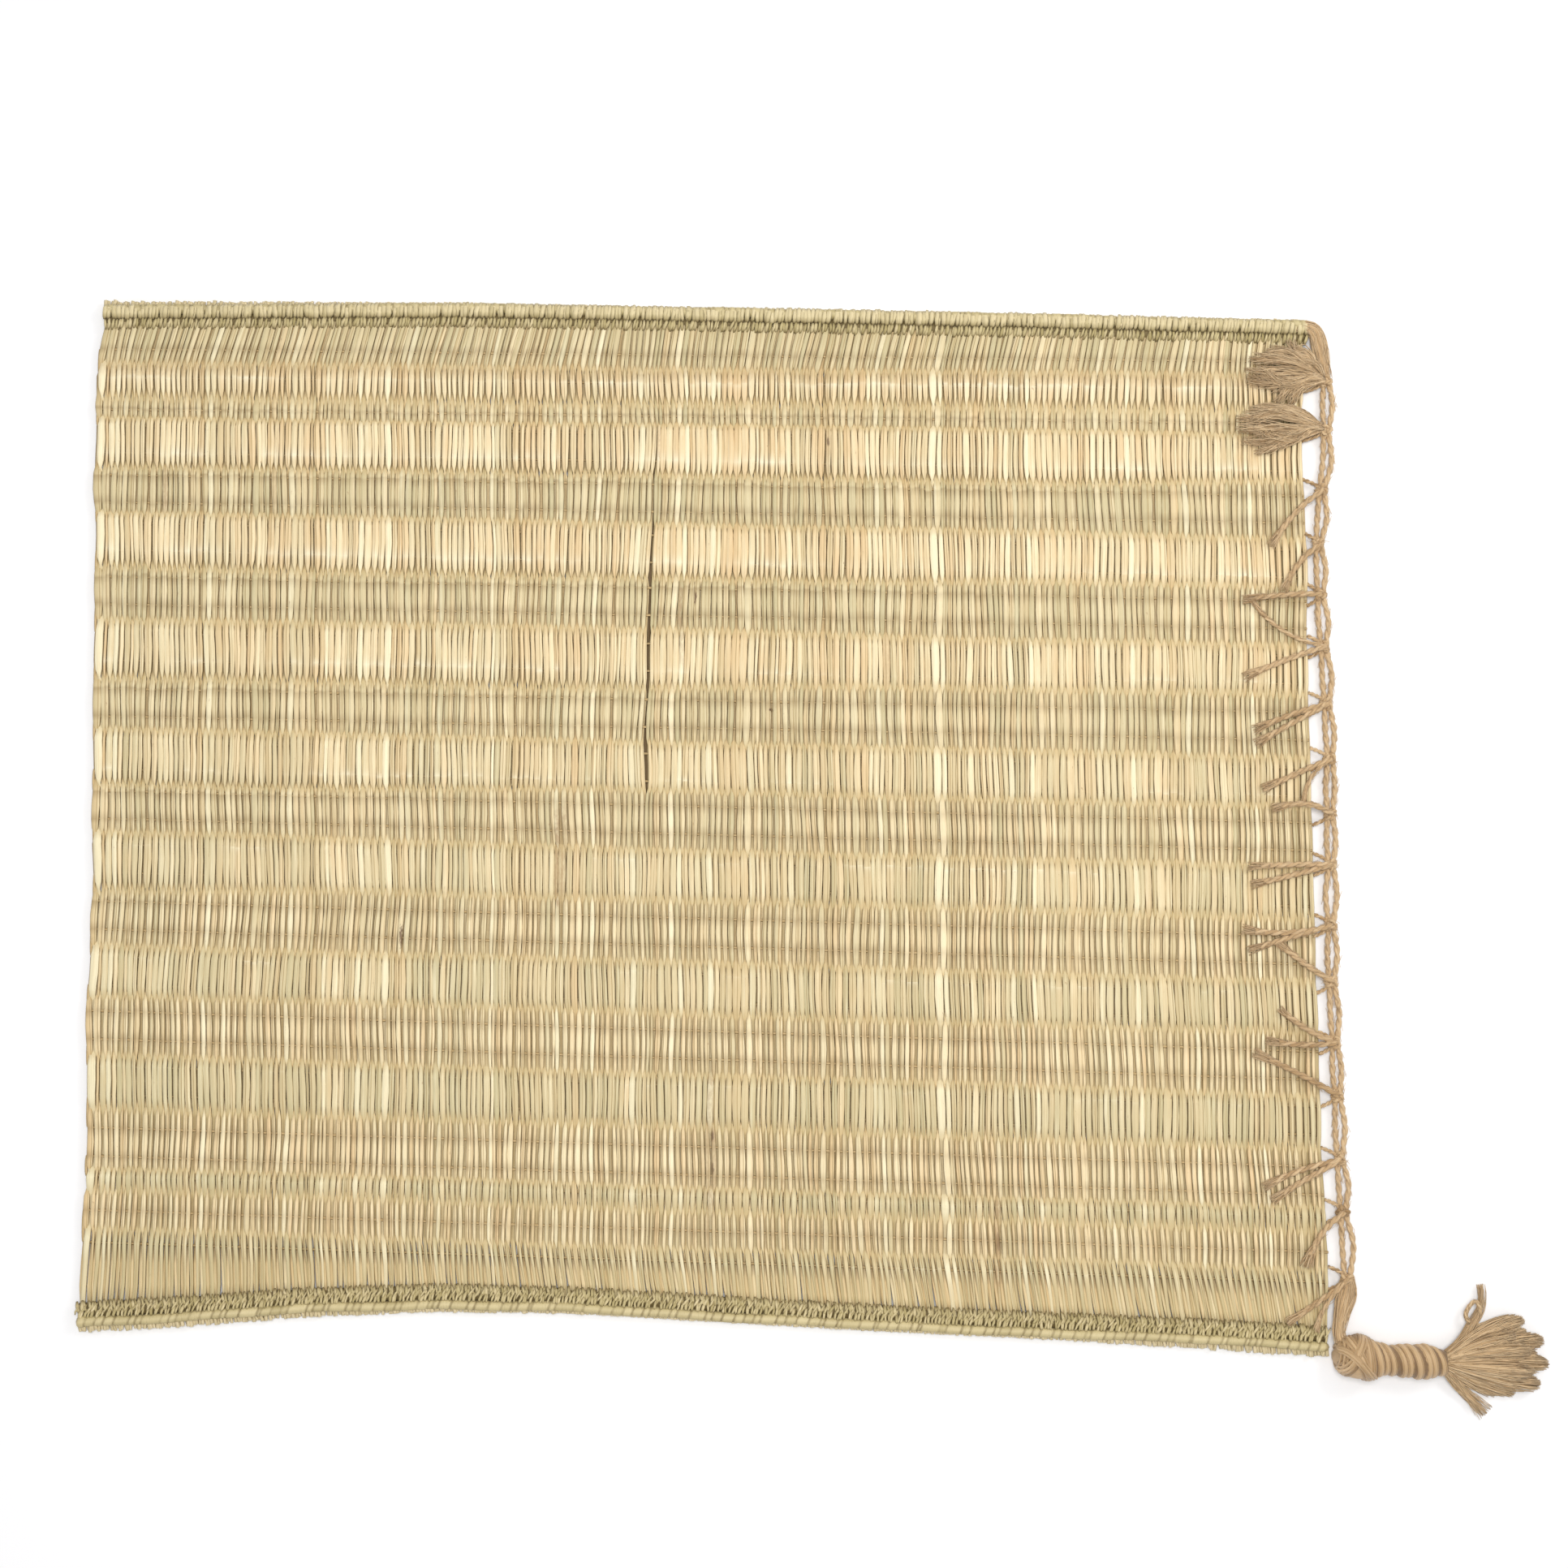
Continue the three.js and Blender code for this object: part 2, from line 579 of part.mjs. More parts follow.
function makeTail(tail) {
  const knot = KNOTS[tail.knot - 1];
  const root = new THREE.Vector3(knot.x, knot.y, 0);
  const points = bendPoints(root, tail.length, tail.heading, tail.turn, TAIL_STEPS);
  points.forEach((point, i) => {
    const lying = restingHeight(point.x, point.y) + TAIL_HALF_HEIGHT;
    const hump = tail.lift * Math.sin(Math.PI * Math.min(1, i / (TAIL_STEPS - 1)));
    point.z = i === 0 ? TAIL_ROOT_HEIGHT : lying + hump;
  });
  const curve = new THREE.CatmullRomCurve3(points);
  const body = tail.tip < TAIL_HALF_WIDTH ? THIN_TAIL_HALF_WIDTH : TAIL_HALF_WIDTH;
  const fray = (t) => Math.max(0, (t - FRAY_START) / (1 - FRAY_START));
  const halfWidth = (t) => lerp(body, tail.tip, fray(t));
  const halfHeight = (t) => lerp(TAIL_HALF_HEIGHT, TAIL_TIP_HALF_HEIGHT, fray(t));
  return tubeAlong(curve, TAIL_STEPS + 1, halfWidth, halfHeight, 4);
}

function makeEdgeCord() {
  const steps = STRAND_STEPS * (KNOTS.length + 2);
  const radius = () => STRAND_RADIUS;
  const parts = [-1, 1].map((side) => tubeAlong(strandCurve(side), steps, radius, radius, STRAND_SIDES));
  KNOTS.forEach((knot) => parts.push(makeKnot(knot), ...makeFeeders(knot)));
  TAILS.forEach((tail) => parts.push(makeTail(tail)));
  return fuse(parts);
}

// Frayed tassels

function makeTassel(tassel) {
  const level = FACE_HEIGHT + GAP;
  const head = new THREE.Vector3(tassel.x, tassel.y, level + TASSEL_HEAD.z);
  const parts = [ellipsoid(head, TASSEL_HEAD, 8, 6)];
  for (let i = 0; i < TASSEL_LOCKS; i += 1) {
    const share = i / (TASSEL_LOCKS - 1);
    const middle = Math.sin(Math.PI * share);
    const layer = TASSEL_LAYERS[i % 2];
    const length = lerp(tassel.shortest, tassel.longest, middle) * layer.share;
    const root = new THREE.Vector3(tassel.x, tassel.y, level + layer.halfHeight + layer.lift);
    const heading = lerp(tassel.from, tassel.to, share);
    const turn = TASSEL_LOCK.turn * (0.5 - share);
    const curve = new THREE.CatmullRomCurve3(bendPoints(root, length, heading, turn, TASSEL_LOCK.steps));
    const halfWidth = (t) => lerp(TASSEL_LOCK.rootHalf, TASSEL_LOCK.bodyHalf, Math.sin(Math.PI * t));
    parts.push(tubeAlong(curve, TASSEL_LOCK.steps, halfWidth, () => layer.halfHeight, 4));
  }
  return fuse(parts);
}

// Wrapped corner knot and its brush

function cornerKnotRing(x) {
  const half = readTable(CORNER_KNOT, 'x', 'half', x);
  const middle = readTable(CORNER_KNOT_Y, 'x', 'y', x);
  const wrapped = THREE.MathUtils.smoothstep(x, WRAP_START - 3, WRAP_START)
    * (1 - THREE.MathUtils.smoothstep(x, WRAP_END - 1, WRAP_END + 1));
  const ring = [];
  for (let j = 0; j < KNOT_SIDES; j += 1) {
    const angle = -Math.PI / 2 + Math.PI / KNOT_SIDES + 2 * Math.PI * j / KNOT_SIDES;
    const turn = (x - WRAP_START) / WRAP_PITCH + WRAP_SLANT * Math.cos(angle);
    const ridge = wrapped * WRAP_HEIGHT * Math.cos(2 * Math.PI * turn);
    const lobe = (1 - wrapped) * BULB.lobeHeight * Math.sin(BULB.lobes * angle + BULB.lobeTwist * x);
    const radius = half + ridge + (half > CORNER_KNOT[CORNER_KNOT.length - 1].half ? lobe : 0);
    const low = j === 0 || j === KNOT_SIDES - 1;
    const up = Math.sin(angle) * radius / Math.cos(Math.PI / KNOT_SIDES);
    ring.push(new THREE.Vector3(
      x,
      middle + Math.cos(angle) * radius,
      low ? 0 : Math.max(0.15, KNOT_FLATNESS * (half + up)),
    ));
  }
  return ring;
}

function makeCornerKnot() {
  const places = [...BULB.places];
  const wrapStep = WRAP_PITCH / 3;
  for (let x = WRAP_START - 1; x < WRAP_END; x += wrapStep) places.push(x);
  places.push(CORNER_KNOT[CORNER_KNOT.length - 1].x);
  return skinOver(places.map(cornerKnotRing));
}

function makeLock(root, heading, turn, length, widths, halfHeight) {
  const steps = 4;
  const widest = 1 - 1 / steps;
  const curve = new THREE.CatmullRomCurve3(bendPoints(root, length, heading, turn, steps));
  const halfWidth = (t) => (t < widest
    ? lerp(widths.root, widths.body, t / widest)
    : lerp(widths.body, widths.tip, (t - widest) * steps));
  return tubeAlong(curve, steps, halfWidth, () => halfHeight, 4);
}

function makeBrush() {
  const rings = [0, 0.5, 1].map((share) => {
    const half = lerp(BRUSH_ROOT.half, BRUSH_ROOT.endHalf, share);
    const x = BRUSH_ROOT.x + BRUSH_ROOT.length * share;
    const centre = new THREE.Vector3(x, BRUSH_ROOT.y, half * KNOT_FLATNESS);
    return ringAt(centre, 0, half, half * KNOT_FLATNESS, 8);
  });
  const parts = [skinOver(rings)];
  for (const layer of BRUSH_LAYERS) {
    for (let i = 0; i < layer.locks; i += 1) {
      const share = i / (layer.locks - 1);
      const heading = lerp(layer.from, layer.to, share);
      const outer = Math.abs(2 * share - 1);
      const uneven = i % 2 ? BRUSH_LOCK.unevenShare : 1;
      const length = layer.longest * (1 - BRUSH_SHORTENING * outer * outer) * uneven;
      const root = new THREE.Vector3(
        BRUSH_ROOT.x + BRUSH_LOCK.inset,
        BRUSH_ROOT.y + BRUSH_LOCK.spread * Math.sin(radians(heading)),
        layer.level + layer.halfHeight,
      );
      const widths = {
        root: BRUSH_LOCK.rootShare * layer.halfWidth,
        body: layer.halfWidth,
        tip: BRUSH_LOCK.tipShare * layer.halfWidth,
      };
      parts.push(makeLock(root, heading, BRUSH_LOCK.bend * heading, length, widths, layer.halfHeight));
    }
  }
  for (const stray of STRAY_LOCKS) {
    const root = new THREE.Vector3(
      BRUSH_ROOT.x + BRUSH_LOCK.inset,
      BRUSH_ROOT.y + STRAY_ROOT.aside * Math.sign(stray.heading),
      STRAY_ROOT.halfHeight,
    );
    const widths = { root: stray.halfWidth, body: stray.halfWidth, tip: stray.tip };
    parts.push(makeLock(root, stray.heading, stray.turn, stray.length, widths, STRAY_ROOT.halfHeight));
  }
  return fuse(parts);
}

// The whole mat

const mat = new THREE.Group();
mat.add(named('grass_field', makeField(), COLOURS.grass, 0.75));
mat.add(named('selvedge_top', makeSelvedge(SELVEDGE_TOP, 1), COLOURS.selvedge, 0.8));
mat.add(named('selvedge_bottom', makeSelvedge(SELVEDGE_BOTTOM, -1), COLOURS.selvedge, 0.8));
mat.add(named('edge_cord', makeEdgeCord(), COLOURS.jute, 0.9));
for (const tassel of TASSELS) mat.add(named(tassel.name, makeTassel(tassel), COLOURS.jute, 0.9));
mat.add(named('corner_knot', makeCornerKnot(), COLOURS.jute, 0.9));
mat.add(named('corner_brush', makeBrush(), COLOURS.brush, 0.9));

const footprint = new THREE.Box3().setFromObject(mat);
const middle = footprint.getCenter(new THREE.Vector3());
mat.position.set(-middle.x, -middle.y, -footprint.min.z);

export default mat;
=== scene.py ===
"""Kusha grass mat, lying flat on a pale floor.

Long grass stems in two sets take turns over and under hidden twine, so the face shows level rows.
Both ends are rolled and plaited. On the right the twine is knotted into a jute edge cord with its
tails laid back on the grass, and it ends in a wrapped knot with a brush.

Tables are in millimetres about the middle of the grass, X along the twine, Y along the stems and
Z up. SHIFT takes them to the middle of the mat's footprint.
"""

import math

import bpy
import numpy as np
from bpy.props import FloatProperty, FloatVectorProperty, IntProperty, PointerProperty
from bpy.types import Operator, Panel, PropertyGroup
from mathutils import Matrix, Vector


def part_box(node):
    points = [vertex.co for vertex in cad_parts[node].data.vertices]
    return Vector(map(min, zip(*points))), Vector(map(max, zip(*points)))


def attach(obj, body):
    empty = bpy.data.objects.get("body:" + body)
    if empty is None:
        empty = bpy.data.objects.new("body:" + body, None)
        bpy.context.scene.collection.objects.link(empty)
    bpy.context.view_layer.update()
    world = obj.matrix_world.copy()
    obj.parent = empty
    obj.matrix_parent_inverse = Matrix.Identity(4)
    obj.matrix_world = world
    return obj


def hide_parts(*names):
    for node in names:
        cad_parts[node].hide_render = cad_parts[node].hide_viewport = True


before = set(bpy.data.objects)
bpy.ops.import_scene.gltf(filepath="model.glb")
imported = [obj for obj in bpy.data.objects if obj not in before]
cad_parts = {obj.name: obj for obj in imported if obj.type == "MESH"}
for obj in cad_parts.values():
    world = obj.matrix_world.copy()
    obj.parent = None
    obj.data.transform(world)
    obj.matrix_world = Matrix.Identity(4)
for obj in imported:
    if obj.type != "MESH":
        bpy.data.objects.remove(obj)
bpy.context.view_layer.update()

bl_info = {
    "name": "Kusha Grass Mat",
    "version": (1, 0, 0),
    "blender": (4, 5, 0),
    "location": "View3D > Sidebar > Grass Mat",
    "description": "Builds a hand-woven grass mat with plaited ends and a knotted jute edge cord",
    "category": "Add Mesh",
}

MM = 0.001
SHIFT = np.array([-51.381, 23.075, 0.0])

# Outline of the grass: height, edge
OUTLINE_LEFT = [
    (242, -301.0), (220, -304.2), (193, -303.8), (93, -302.4), (12, -301.6), (-44, -299.8),
    (-95, -302.0), (-162, -300.4), (-205, -301.6), (-244, -302.8),
]
OUTLINE_RIGHT = [
    (232, 300.4), (170, 298.8), (128, 300.3), (41, 300.2), (-20, 301.0), (-63, 300.6),
    (-120, 302.2), (-165, 302.3), (-218, 305.3), (-255, 303.6),
]

# Where each plait meets the grass: place along it, height
PLAIT_TOP = [(-301, 240.0), (-125, 240.8), (53, 237.8), (175, 235.3), (301.5, 231.9)]
PLAIT_BOTTOM = [
    (-303, -243.0), (-254, -240.6), (-191, -236.3), (-128, -234.4), (-65, -236.0),
    (14, -240.4), (92, -244.8), (249, -251.4), (303, -254.6),
]

# Rows from the top: set of stems on top, twines under it, middle at the left and right edge
ROWS = [
    ("A", 1, 228.2, 221.6), ("B", 1, 213.7, 207.6), ("A", 1, 197.6, 190.2),
    ("B", 2, 182.7, 173.0), ("A", 2, 157.6, 146.8), ("B", 2, 133.8, 119.5),
    ("A", 2, 106.5, 93.9), ("B", 2, 78.5, 66.4), ("A", 2, 50.6, 38.5),
    ("B", 2, 24.5, 10.8), ("A", 2, 0.0, -16.0), ("B", 2, -26.4, -43.5),
    ("A", 2, -54.3, -71.8), ("B", 2, -81.3, -99.5), ("A", 2, -107.8, -127.9),
    ("B", 2, -134.6, -154.6), ("A", 2, -164.4, -183.6), ("B", 1, -180.8, -201.1),
    ("A", 1, -197.2, -217.8), ("B", 1, -212.8, -232.2),
]
STRING_PITCH = 13.6                     # of the two twines of a row
TWINE_LEVEL = {"A": 2.95, "B": 2.4}     # height of a twine under each set
TOP_WIDTH, BOTTOM_WIDTH = 602, 607      # of the grass at each plait
MAT_WIDTH, MAT_LENGTH = 600, 480        # of the woven grass, rounded

# Slit between two stems: its share of the width, how far its opening pushes the stems beside
# it, the share of the width over which they follow its drift, and height, place, opening
SLIT_SHARE, SLIT_REACH, DRIFT_REACH = 0.4541, 9, 0.08
SLIT = [
    (245, -27.0, 0.0), (190, -25.0, 0.0), (172, -25.0, 0.4), (138, -26.3, 0.6),
    (93, -28.4, 1.15), (58, -28.4, 0.7), (34, -29.0, 0.95), (13, -29.0, 1.0),
    (2, -29.0, 0.1), (-40, -28.6, 0.0), (-240, -28.0, 0.0),
]

# How far the stems lean on their way into a plait: place along it, lean at the plait
LEAN_TOP = [
    (-302, 0.8), (-285, 1.4), (-225, 3.0), (-100, 3.5), (100, 3.5), (200, 3.2), (280, 1.4),
    (300, 0.2),
]
LEAN_BOTTOM = [
    (-303, 0.0), (-270, 0.6), (-230, 2.2), (-170, 3.2), (-60, 3.9), (40, 4.4), (150, 5.6),
    (250, 7.2), (284, 6.2), (296, 2.4), (303, 0.0),
]

# Heights and half heights of the two sets where they lie over or under the twine
OVER = {"A": (3.6, 0.85), "B": (3.8, 1.0)}
UNDER = {"A": (1.5, 1.25), "B": (1.95, 1.35)}
BOW = {"A": 0.25, "B": -0.2}            # rise between two twines of a row
HALF_WIDTH = {                          # height in the mat, half width of a stem
    "A": [(245, 1.42), (205, 1.48), (165, 1.5), (60, 1.48), (0, 1.4), (-60, 1.3), (-120, 1.22),
          (-170, 1.25), (-215, 1.25), (-240, 1.5)],
    "B": [(245, 1.4), (205, 1.52), (120, 1.56), (-100, 1.56), (-200, 1.5), (-250, 1.4)],
}
GREEN = {                               # height in the mat, how green a stem is there
    "A": [(245, 0.75), (222, 0.7), (200, 0.5), (150, 0.72), (100, 0.66), (40, 0.58),
          (0, 0.5), (-60, 0.36), (-120, 0.2), (-190, 0.08), (-245, 0.3)],
    "B": [(245, 0.3), (212, 0.02), (120, 0.05), (60, 0.25), (0, 0.42), (-60, 0.52),
          (-120, 0.62), (-180, 0.75), (-245, 0.9)],
}

# Height at the left edge, its slope and its reach, where the set with the long points changes
SWITCH, SWITCH_SLOPE, SWITCH_REACH = -62.0, 0.416, 35

# Rings of a stem beside each plait: share of the way along, how far up its set is
FIRST_SECTION = ((0, 0.35), (0.3, 0.85), (0.65, 1.0))
LAST_SECTION = ((0.3, 0.15), (0.65, -0.1), (1.0, 0.45))
CROSSING_STEP = 0.26                    # between the three rings where the sets cross
PINCH = {"A": (0.75, -0.5), "B": (0.2, 0.5)}    # narrowing there, its change where pointed
PLAIT_OVERLAP = 2.6                     # of the stems and a plait
GATHER = 0.3                            # sideways, of each set towards the other at a plait
RIGHT_STEMS = 0.965                     # share of the width where narrower stems begin
# Strength of the painted crest highlight for each set
CREST_HIGHLIGHT_STRENGTH = {"A": 0.3, "B": 0.75}
PALE_STEMS = 0.07                       # share of stems that are pale throughout
STEM_SEEDS = {("A", "left"): 11, ("B", "left"): 23, ("A", "right"): 111, ("B", "right"): 123}

# Stems unlike their neighbours: place, from and to height, brownness
ODD_STEMS = [
    (-268.0, 146, 170, 0.5), (-71.8, -52, 0, 0.75), (-68.8, -52, 0, 0.6), (4.6, -200, -130, 0.8),
    (1.6, -240, -150, 0.45), (143.0, -240, -190, 0.7), (61.0, 160, 200, 0.35),
    (-23.7, 171, 191, 0.6), (-12.0, 70, 110, 0.7), (33.0, 30, 60, 0.35), (90.0, 60, 90, 0.3),
    (-214.0, 120, 190, 0.25),
]

# Stains: place, height, reach across and along, strength
STAINS = [
    (-147.9, -65.4, 1.1, 6.0, 0.9), (-4.4, 103.2, 0.9, 4.5, 0.9), (4.7, -162.0, 1.0, 3.6, 0.8),
    (4.8, -177.7, 1.0, 4.0, 0.7), (143.5, -212.8, 1.6, 6.0, 0.6), (61.4, 180.8, 1.0, 3.2, 0.75),
    (33.1, 46.6, 1.2, 1.2, 1.0), (256.1, -162.0, 0.8, 1.4, 1.0),
]

# Knots of the edge cord from the top: height, place, inner and outer strand below it
KNOTS = [
    (211.7, 310.4, 308.5, 313.4), (187.0, 309.9, 308.1, 312.5), (156.6, 307.4, 304.9, 309.6),
    (129.3, 305.2, 304.0, 308.7), (104.1, 305.6, 304.5, 309.5), (78.1, 306.7, 305.9, 310.6),
    (49.8, 307.8, 306.9, 311.3), (22.4, 308.9, 306.6, 311.1), (-4.8, 308.4, 306.5, 311.0),
    (-29.6, 308.4, 305.6, 311.2), (-59.5, 307.8, 305.9, 310.8), (-87.2, 307.7, 306.9, 311.2),
    (-116.8, 308.7, 307.4, 311.8), (-142.4, 309.5, 308.2, 313.0), (-173.0, 310.1, 309.4, 314.2),
    (-198.0, 311.2, 310.6, 316.0), (-230.2, 312.5, 308.0, 316.6),
]
STRAND_OFFSET = 1.3     # of each strand from the middle of a knot

# Loose bundles that the strands end in: x, y, z, half width, half height
CORNER_BUNDLE = [
    (295.0, 238.0, 3.6, 1.6, 1.4), (300.5, 239.2, 4.4, 2.9, 1.8), (305.0, 236.4, 4.4, 3.9, 2.0),
    (306.8, 230.0, 3.8, 4.2, 1.9), (308.4, 221.5, 3.3, 3.4, 1.8), (310.2, 212.5, 3.2, 2.4, 1.9),
]
END_BUNDLE = [
    (312.6, -229.0, 3.6, 2.8, 2.0), (312.2, -236.5, 3.2, 5.2, 1.9), (310.4, -243.5, 3.4, 4.3, 1.9),
    (308.6, -250.0, 3.8, 3.0, 2.0), (307.6, -257.0, 4.8, 2.5, 2.2), (309.0, -262.5, 6.5, 2.6, 2.2),
]

# Tails laid back on the grass: knot, length, heading, turn, half width of the frayed tip, lift
TAILS = [
    (3, 40, 213, 29, 3.0, 0), (4, 31, 215, 33, 2.6, 0), (5, 40, 179, 11, 3.0, 0),
    (6, 45, 198, 6, 3.2, 0), (6, 45, 172, -50, 1.4, 0), (7, 41, 195, 10, 2.6, 0),
    (7, 43, 208, 2, 2.8, 0), (8, 38, 202, 4, 2.8, 0), (8, 28, 208, 58, 1.2, 0),
    (9, 31, 150, 52, 2.6, 4), (10, 43, 180, 3, 2.6, 0), (10, 43, 196, -4, 2.4, 0),
    (11, 46, 196, -28, 2.6, 0), (11, 45, 194, 6, 2.4, 0), (12, 35, 150, -12, 3.0, 0),
    (13, 33, 161, -26, 2.6, 0), (13, 35, 186, -16, 2.4, 0), (14, 47, 149, 8, 2.8, 0),
    (15, 42, 189, 20, 2.6, 0), (15, 41, 206, 8, 2.6, 0), (16, 34, 213, 42, 4.0, 0),
    (17, 37, 217, -6, 2.4, 0), (17, 31, 214, 46, 1.8, 2),
]

# Locks of the frayed tassels: root x and y, tip x and y, sideways bow, half width, level
TASSELS = {
    "tassel_upper": [
        (309, 213.0, 281.0, 207.5, -1.0, 2.6, 0.2), (309, 213.5, 286.0, 208.5, 1.6, 2.0, 0.0),
        (309, 213.0, 269.5, 213.0, 2.6, 3.0, 0.6), (309, 213.5, 268.6, 218.0, 2.2, 3.2, 1.6),
        (309, 213.5, 271.0, 223.0, -1.4, 3.0, 1.0), (308, 215.0, 279.0, 226.2, -2.2, 2.6, 0.4),
        (308, 216.0, 291.0, 227.0, -2.6, 2.2, 0.2), (309, 213.0, 276.0, 216.0, 4.0, 2.2, 2.4),
        (309, 213.0, 284.0, 211.5, 2.4, 2.0, 2.2), (309, 214.0, 296.0, 222.0, -1.5, 2.0, 1.4),
        (309, 212.0, 284.0, 200.5, -2.6, 2.4, 0.0), (309, 212.0, 291.0, 199.0, -2.4, 2.2, 0.0),
        (307, 216.0, 292.0, 233.5, 2.6, 2.4, 0.0),
    ],
    "tassel_lower": [
        (308, 188.0, 281.0, 178.0, 1.0, 2.4, 0.0), (308, 188.0, 272.5, 176.5, 1.6, 2.8, 0.2),
        (308, 188.0, 266.0, 181.5, 2.4, 3.0, 0.8), (308, 188.0, 263.6, 187.0, 1.0, 3.2, 1.6),
        (308, 188.5, 263.8, 192.5, -1.6, 3.0, 1.2), (308, 189.0, 269.5, 197.0, -2.0, 2.6, 0.4),
        (308, 189.0, 281.0, 197.5, -1.6, 2.2, 0.2), (308, 188.0, 274.0, 184.5, 4.2, 2.2, 2.4),
        (308, 188.0, 270.5, 190.5, -3.0, 2.2, 2.6), (308, 188.0, 289.0, 186.5, 2.0, 1.8, 2.6),
    ],
}

# Wrapped knot: place along it, half width; and the height of its middle
CORNER_KNOT = [
    (304.6, 3.0), (306.5, 7.2), (310.0, 10.2), (315.0, 11.5), (320.5, 10.6), (327.0, 8.8),
    (333.0, 8.5), (341.0, 9.3), (348.0, 9.5), (354.0, 8.2), (358.2, 7.0),
]
CORNER_KNOT_Y = [(304, -267.2), (315, -266.6), (331, -268.4), (358, -269.4)]
KNOT_FLATNESS = 0.84
WRAPS = {"start": 321.5, "end": 355.5, "pitch": 3.9, "slant": 1.9}

BRUSH_ROOT, BRUSH_LEVEL = (357.0, -269.4), 6.0
# Locks of the brush: tip x and y, sideways bow, half width, half height, level of the tip, hairs
BRUSH_LOCKS = [
    (385.0, -285.5, -1.5, 3.2, 1.0, 0.3, 60), (393.0, -284.0, -2.0, 4.4, 1.6, 0.3, 90),
    (389.0, -251.0, 2.0, 4.0, 1.6, 0.3, 70), (399.0, -256.0, 1.0, 4.6, 1.9, 0.3, 90),
    (403.5, -266.0, 0.0, 4.6, 2.0, 0.4, 90), (401.0, -276.5, -0.5, 4.6, 1.9, 0.3, 90),
    (396.8, -249.6, 2.6, 4.3, 1.9, 3.4, 110), (405.8, -259.0, 1.4, 4.6, 2.0, 4.0, 120),
    (407.8, -270.3, 0.2, 4.7, 2.0, 4.2, 120), (404.0, -280.2, -1.6, 4.5, 1.9, 3.2, 110),
    (399.5, -263.5, 2.0, 3.8, 1.6, 7.0, 80), (400.5, -273.5, -1.0, 3.8, 1.6, 6.8, 80),
    (392.0, -256.0, 1.4, 3.4, 1.4, 6.4, 60),
]
# Lock that stands up and lock that falls away: x, y, z, half width, half height
STRAY_LOCKS = [
    [(357.5, -267.0, 6.0, 2.0, 1.6), (366.0, -261.0, 4.5, 3.0, 1.6), (372.5, -252.5, 3.2, 2.6, 1.5),
     (376.6, -245.0, 2.8, 1.7, 1.4), (377.8, -239.0, 2.4, 1.9, 1.4), (377.4, -233.0, 2.2, 2.1, 1.2)],
    [(357.5, -272.5, 5.5, 2.2, 1.6), (363.0, -279.0, 3.6, 2.6, 1.5), (369.5, -286.0, 2.4, 2.4, 1.4),
     (375.0, -291.0, 1.9, 3.6, 1.3), (379.0, -294.8, 1.5, 5.0, 0.9)],
]
# Small loop in the standing lock: x, y, z
STRAY_LOOP = [
    (371.0, -251.5, 3.6), (368.9, -247.6, 4.4), (370.6, -243.0, 5.0), (373.6, -240.6, 5.2),
    (375.6, -243.4, 4.8), (376.0, -247.5, 3.8),
]

FACE_HEIGHT = 4.9
STEM_SIDES = np.radians([0, 38, 142, 180, 270])     # flat on top, with a keel below
GRAIN_REACH = 9000      # how far apart along the grain two stems or plies may start


# Reading tables and curves

def read(rows, at, column=1):
    """A column of a table read in straight lines against its first column."""
    rows = np.array(rows, float)
    rows = rows[np.argsort(rows[:, 0])]
    return np.interp(at, rows[:, 0], rows[:, column])


def smoothstep(low, high, value):
    """Zero below low, one above high, and 3t^2 - 2t^3 between them."""
    t = np.clip((value - low) / (high - low), 0, 1)
    return t * t * (3 - 2 * t)


def smooth_path(points, step):
    """A cubic through points, its slope at each taken from both neighbours, at even steps."""
    points = np.asarray(points, float)
    chord = np.r_[0, np.cumsum(np.linalg.norm(np.diff(points, axis=0), axis=1))]
    slope = np.gradient(points, chord, axis=0)
    fine = np.linspace(0, chord[-1], 12 * len(points))
    i = np.clip(np.searchsorted(chord, fine, side="right") - 1, 0, len(points) - 2)
    span = (chord[i + 1] - chord[i])[:, None]
    t = (fine - chord[i])[:, None] / span
    curve = (
        (2 * t**3 - 3 * t**2 + 1) * points[i] + (t**3 - 2 * t**2 + t) * span * slope[i]
        + (3 * t**2 - 2 * t**3) * points[i + 1] + (t**3 - t**2) * span * slope[i + 1]
    )
    length = np.r_[0, np.cumsum(np.linalg.norm(np.diff(curve, axis=0), axis=1))]
    even = np.linspace(0, length[-1], max(3, int(round(length[-1] / step)) + 1))
    return np.stack([np.interp(even, length, curve[:, axis]) for axis in range(3)], axis=1)


def bend(root, length, heading, turn, steps):
    """Points of an even bend in plan: each step's heading is the root's plus its share of the turn."""
    angles = np.radians(heading + turn * (np.arange(steps) + 0.5) / steps)
    reach = np.cumsum(np.stack([np.cos(angles), np.sin(angles)], 1), axis=0) * length / steps
    points = np.zeros((steps + 1, 3))
    points[:, :2] = root
    points[1:, :2] += reach
    return points


def directions(paths, reference):
    """Unit vectors across and up from each path: across is ahead x reference, up is across x ahead."""
    ahead = np.gradient(paths, axis=-2)
    ahead /= np.linalg.norm(ahead, axis=-1, keepdims=True) + 1e-9
    across = np.cross(ahead, np.asarray(reference, float))
    across /= np.linalg.norm(across, axis=-1, keepdims=True) + 1e-9
    return across, np.cross(across, ahead)


def twist(path, plies, radius, pitch, reference=(0, 0, 1), start=0.0):
    """Plies of a cord: the path's middle plus radius (cos a across + sin a up), a grows with length."""
    across, up = directions(path, reference)
    length = np.r_[0, np.cumsum(np.linalg.norm(np.diff(path, axis=0), axis=1))]
    angle = start + 2 * math.pi * (length / pitch + np.arange(plies)[:, None] / plies)
    return path + radius * (np.cos(angle)[..., None] * across + np.sin(angle)[..., None] * up)


# Surfaces

TRAITS = ("tint", "green", "brown", "bright", "edge")


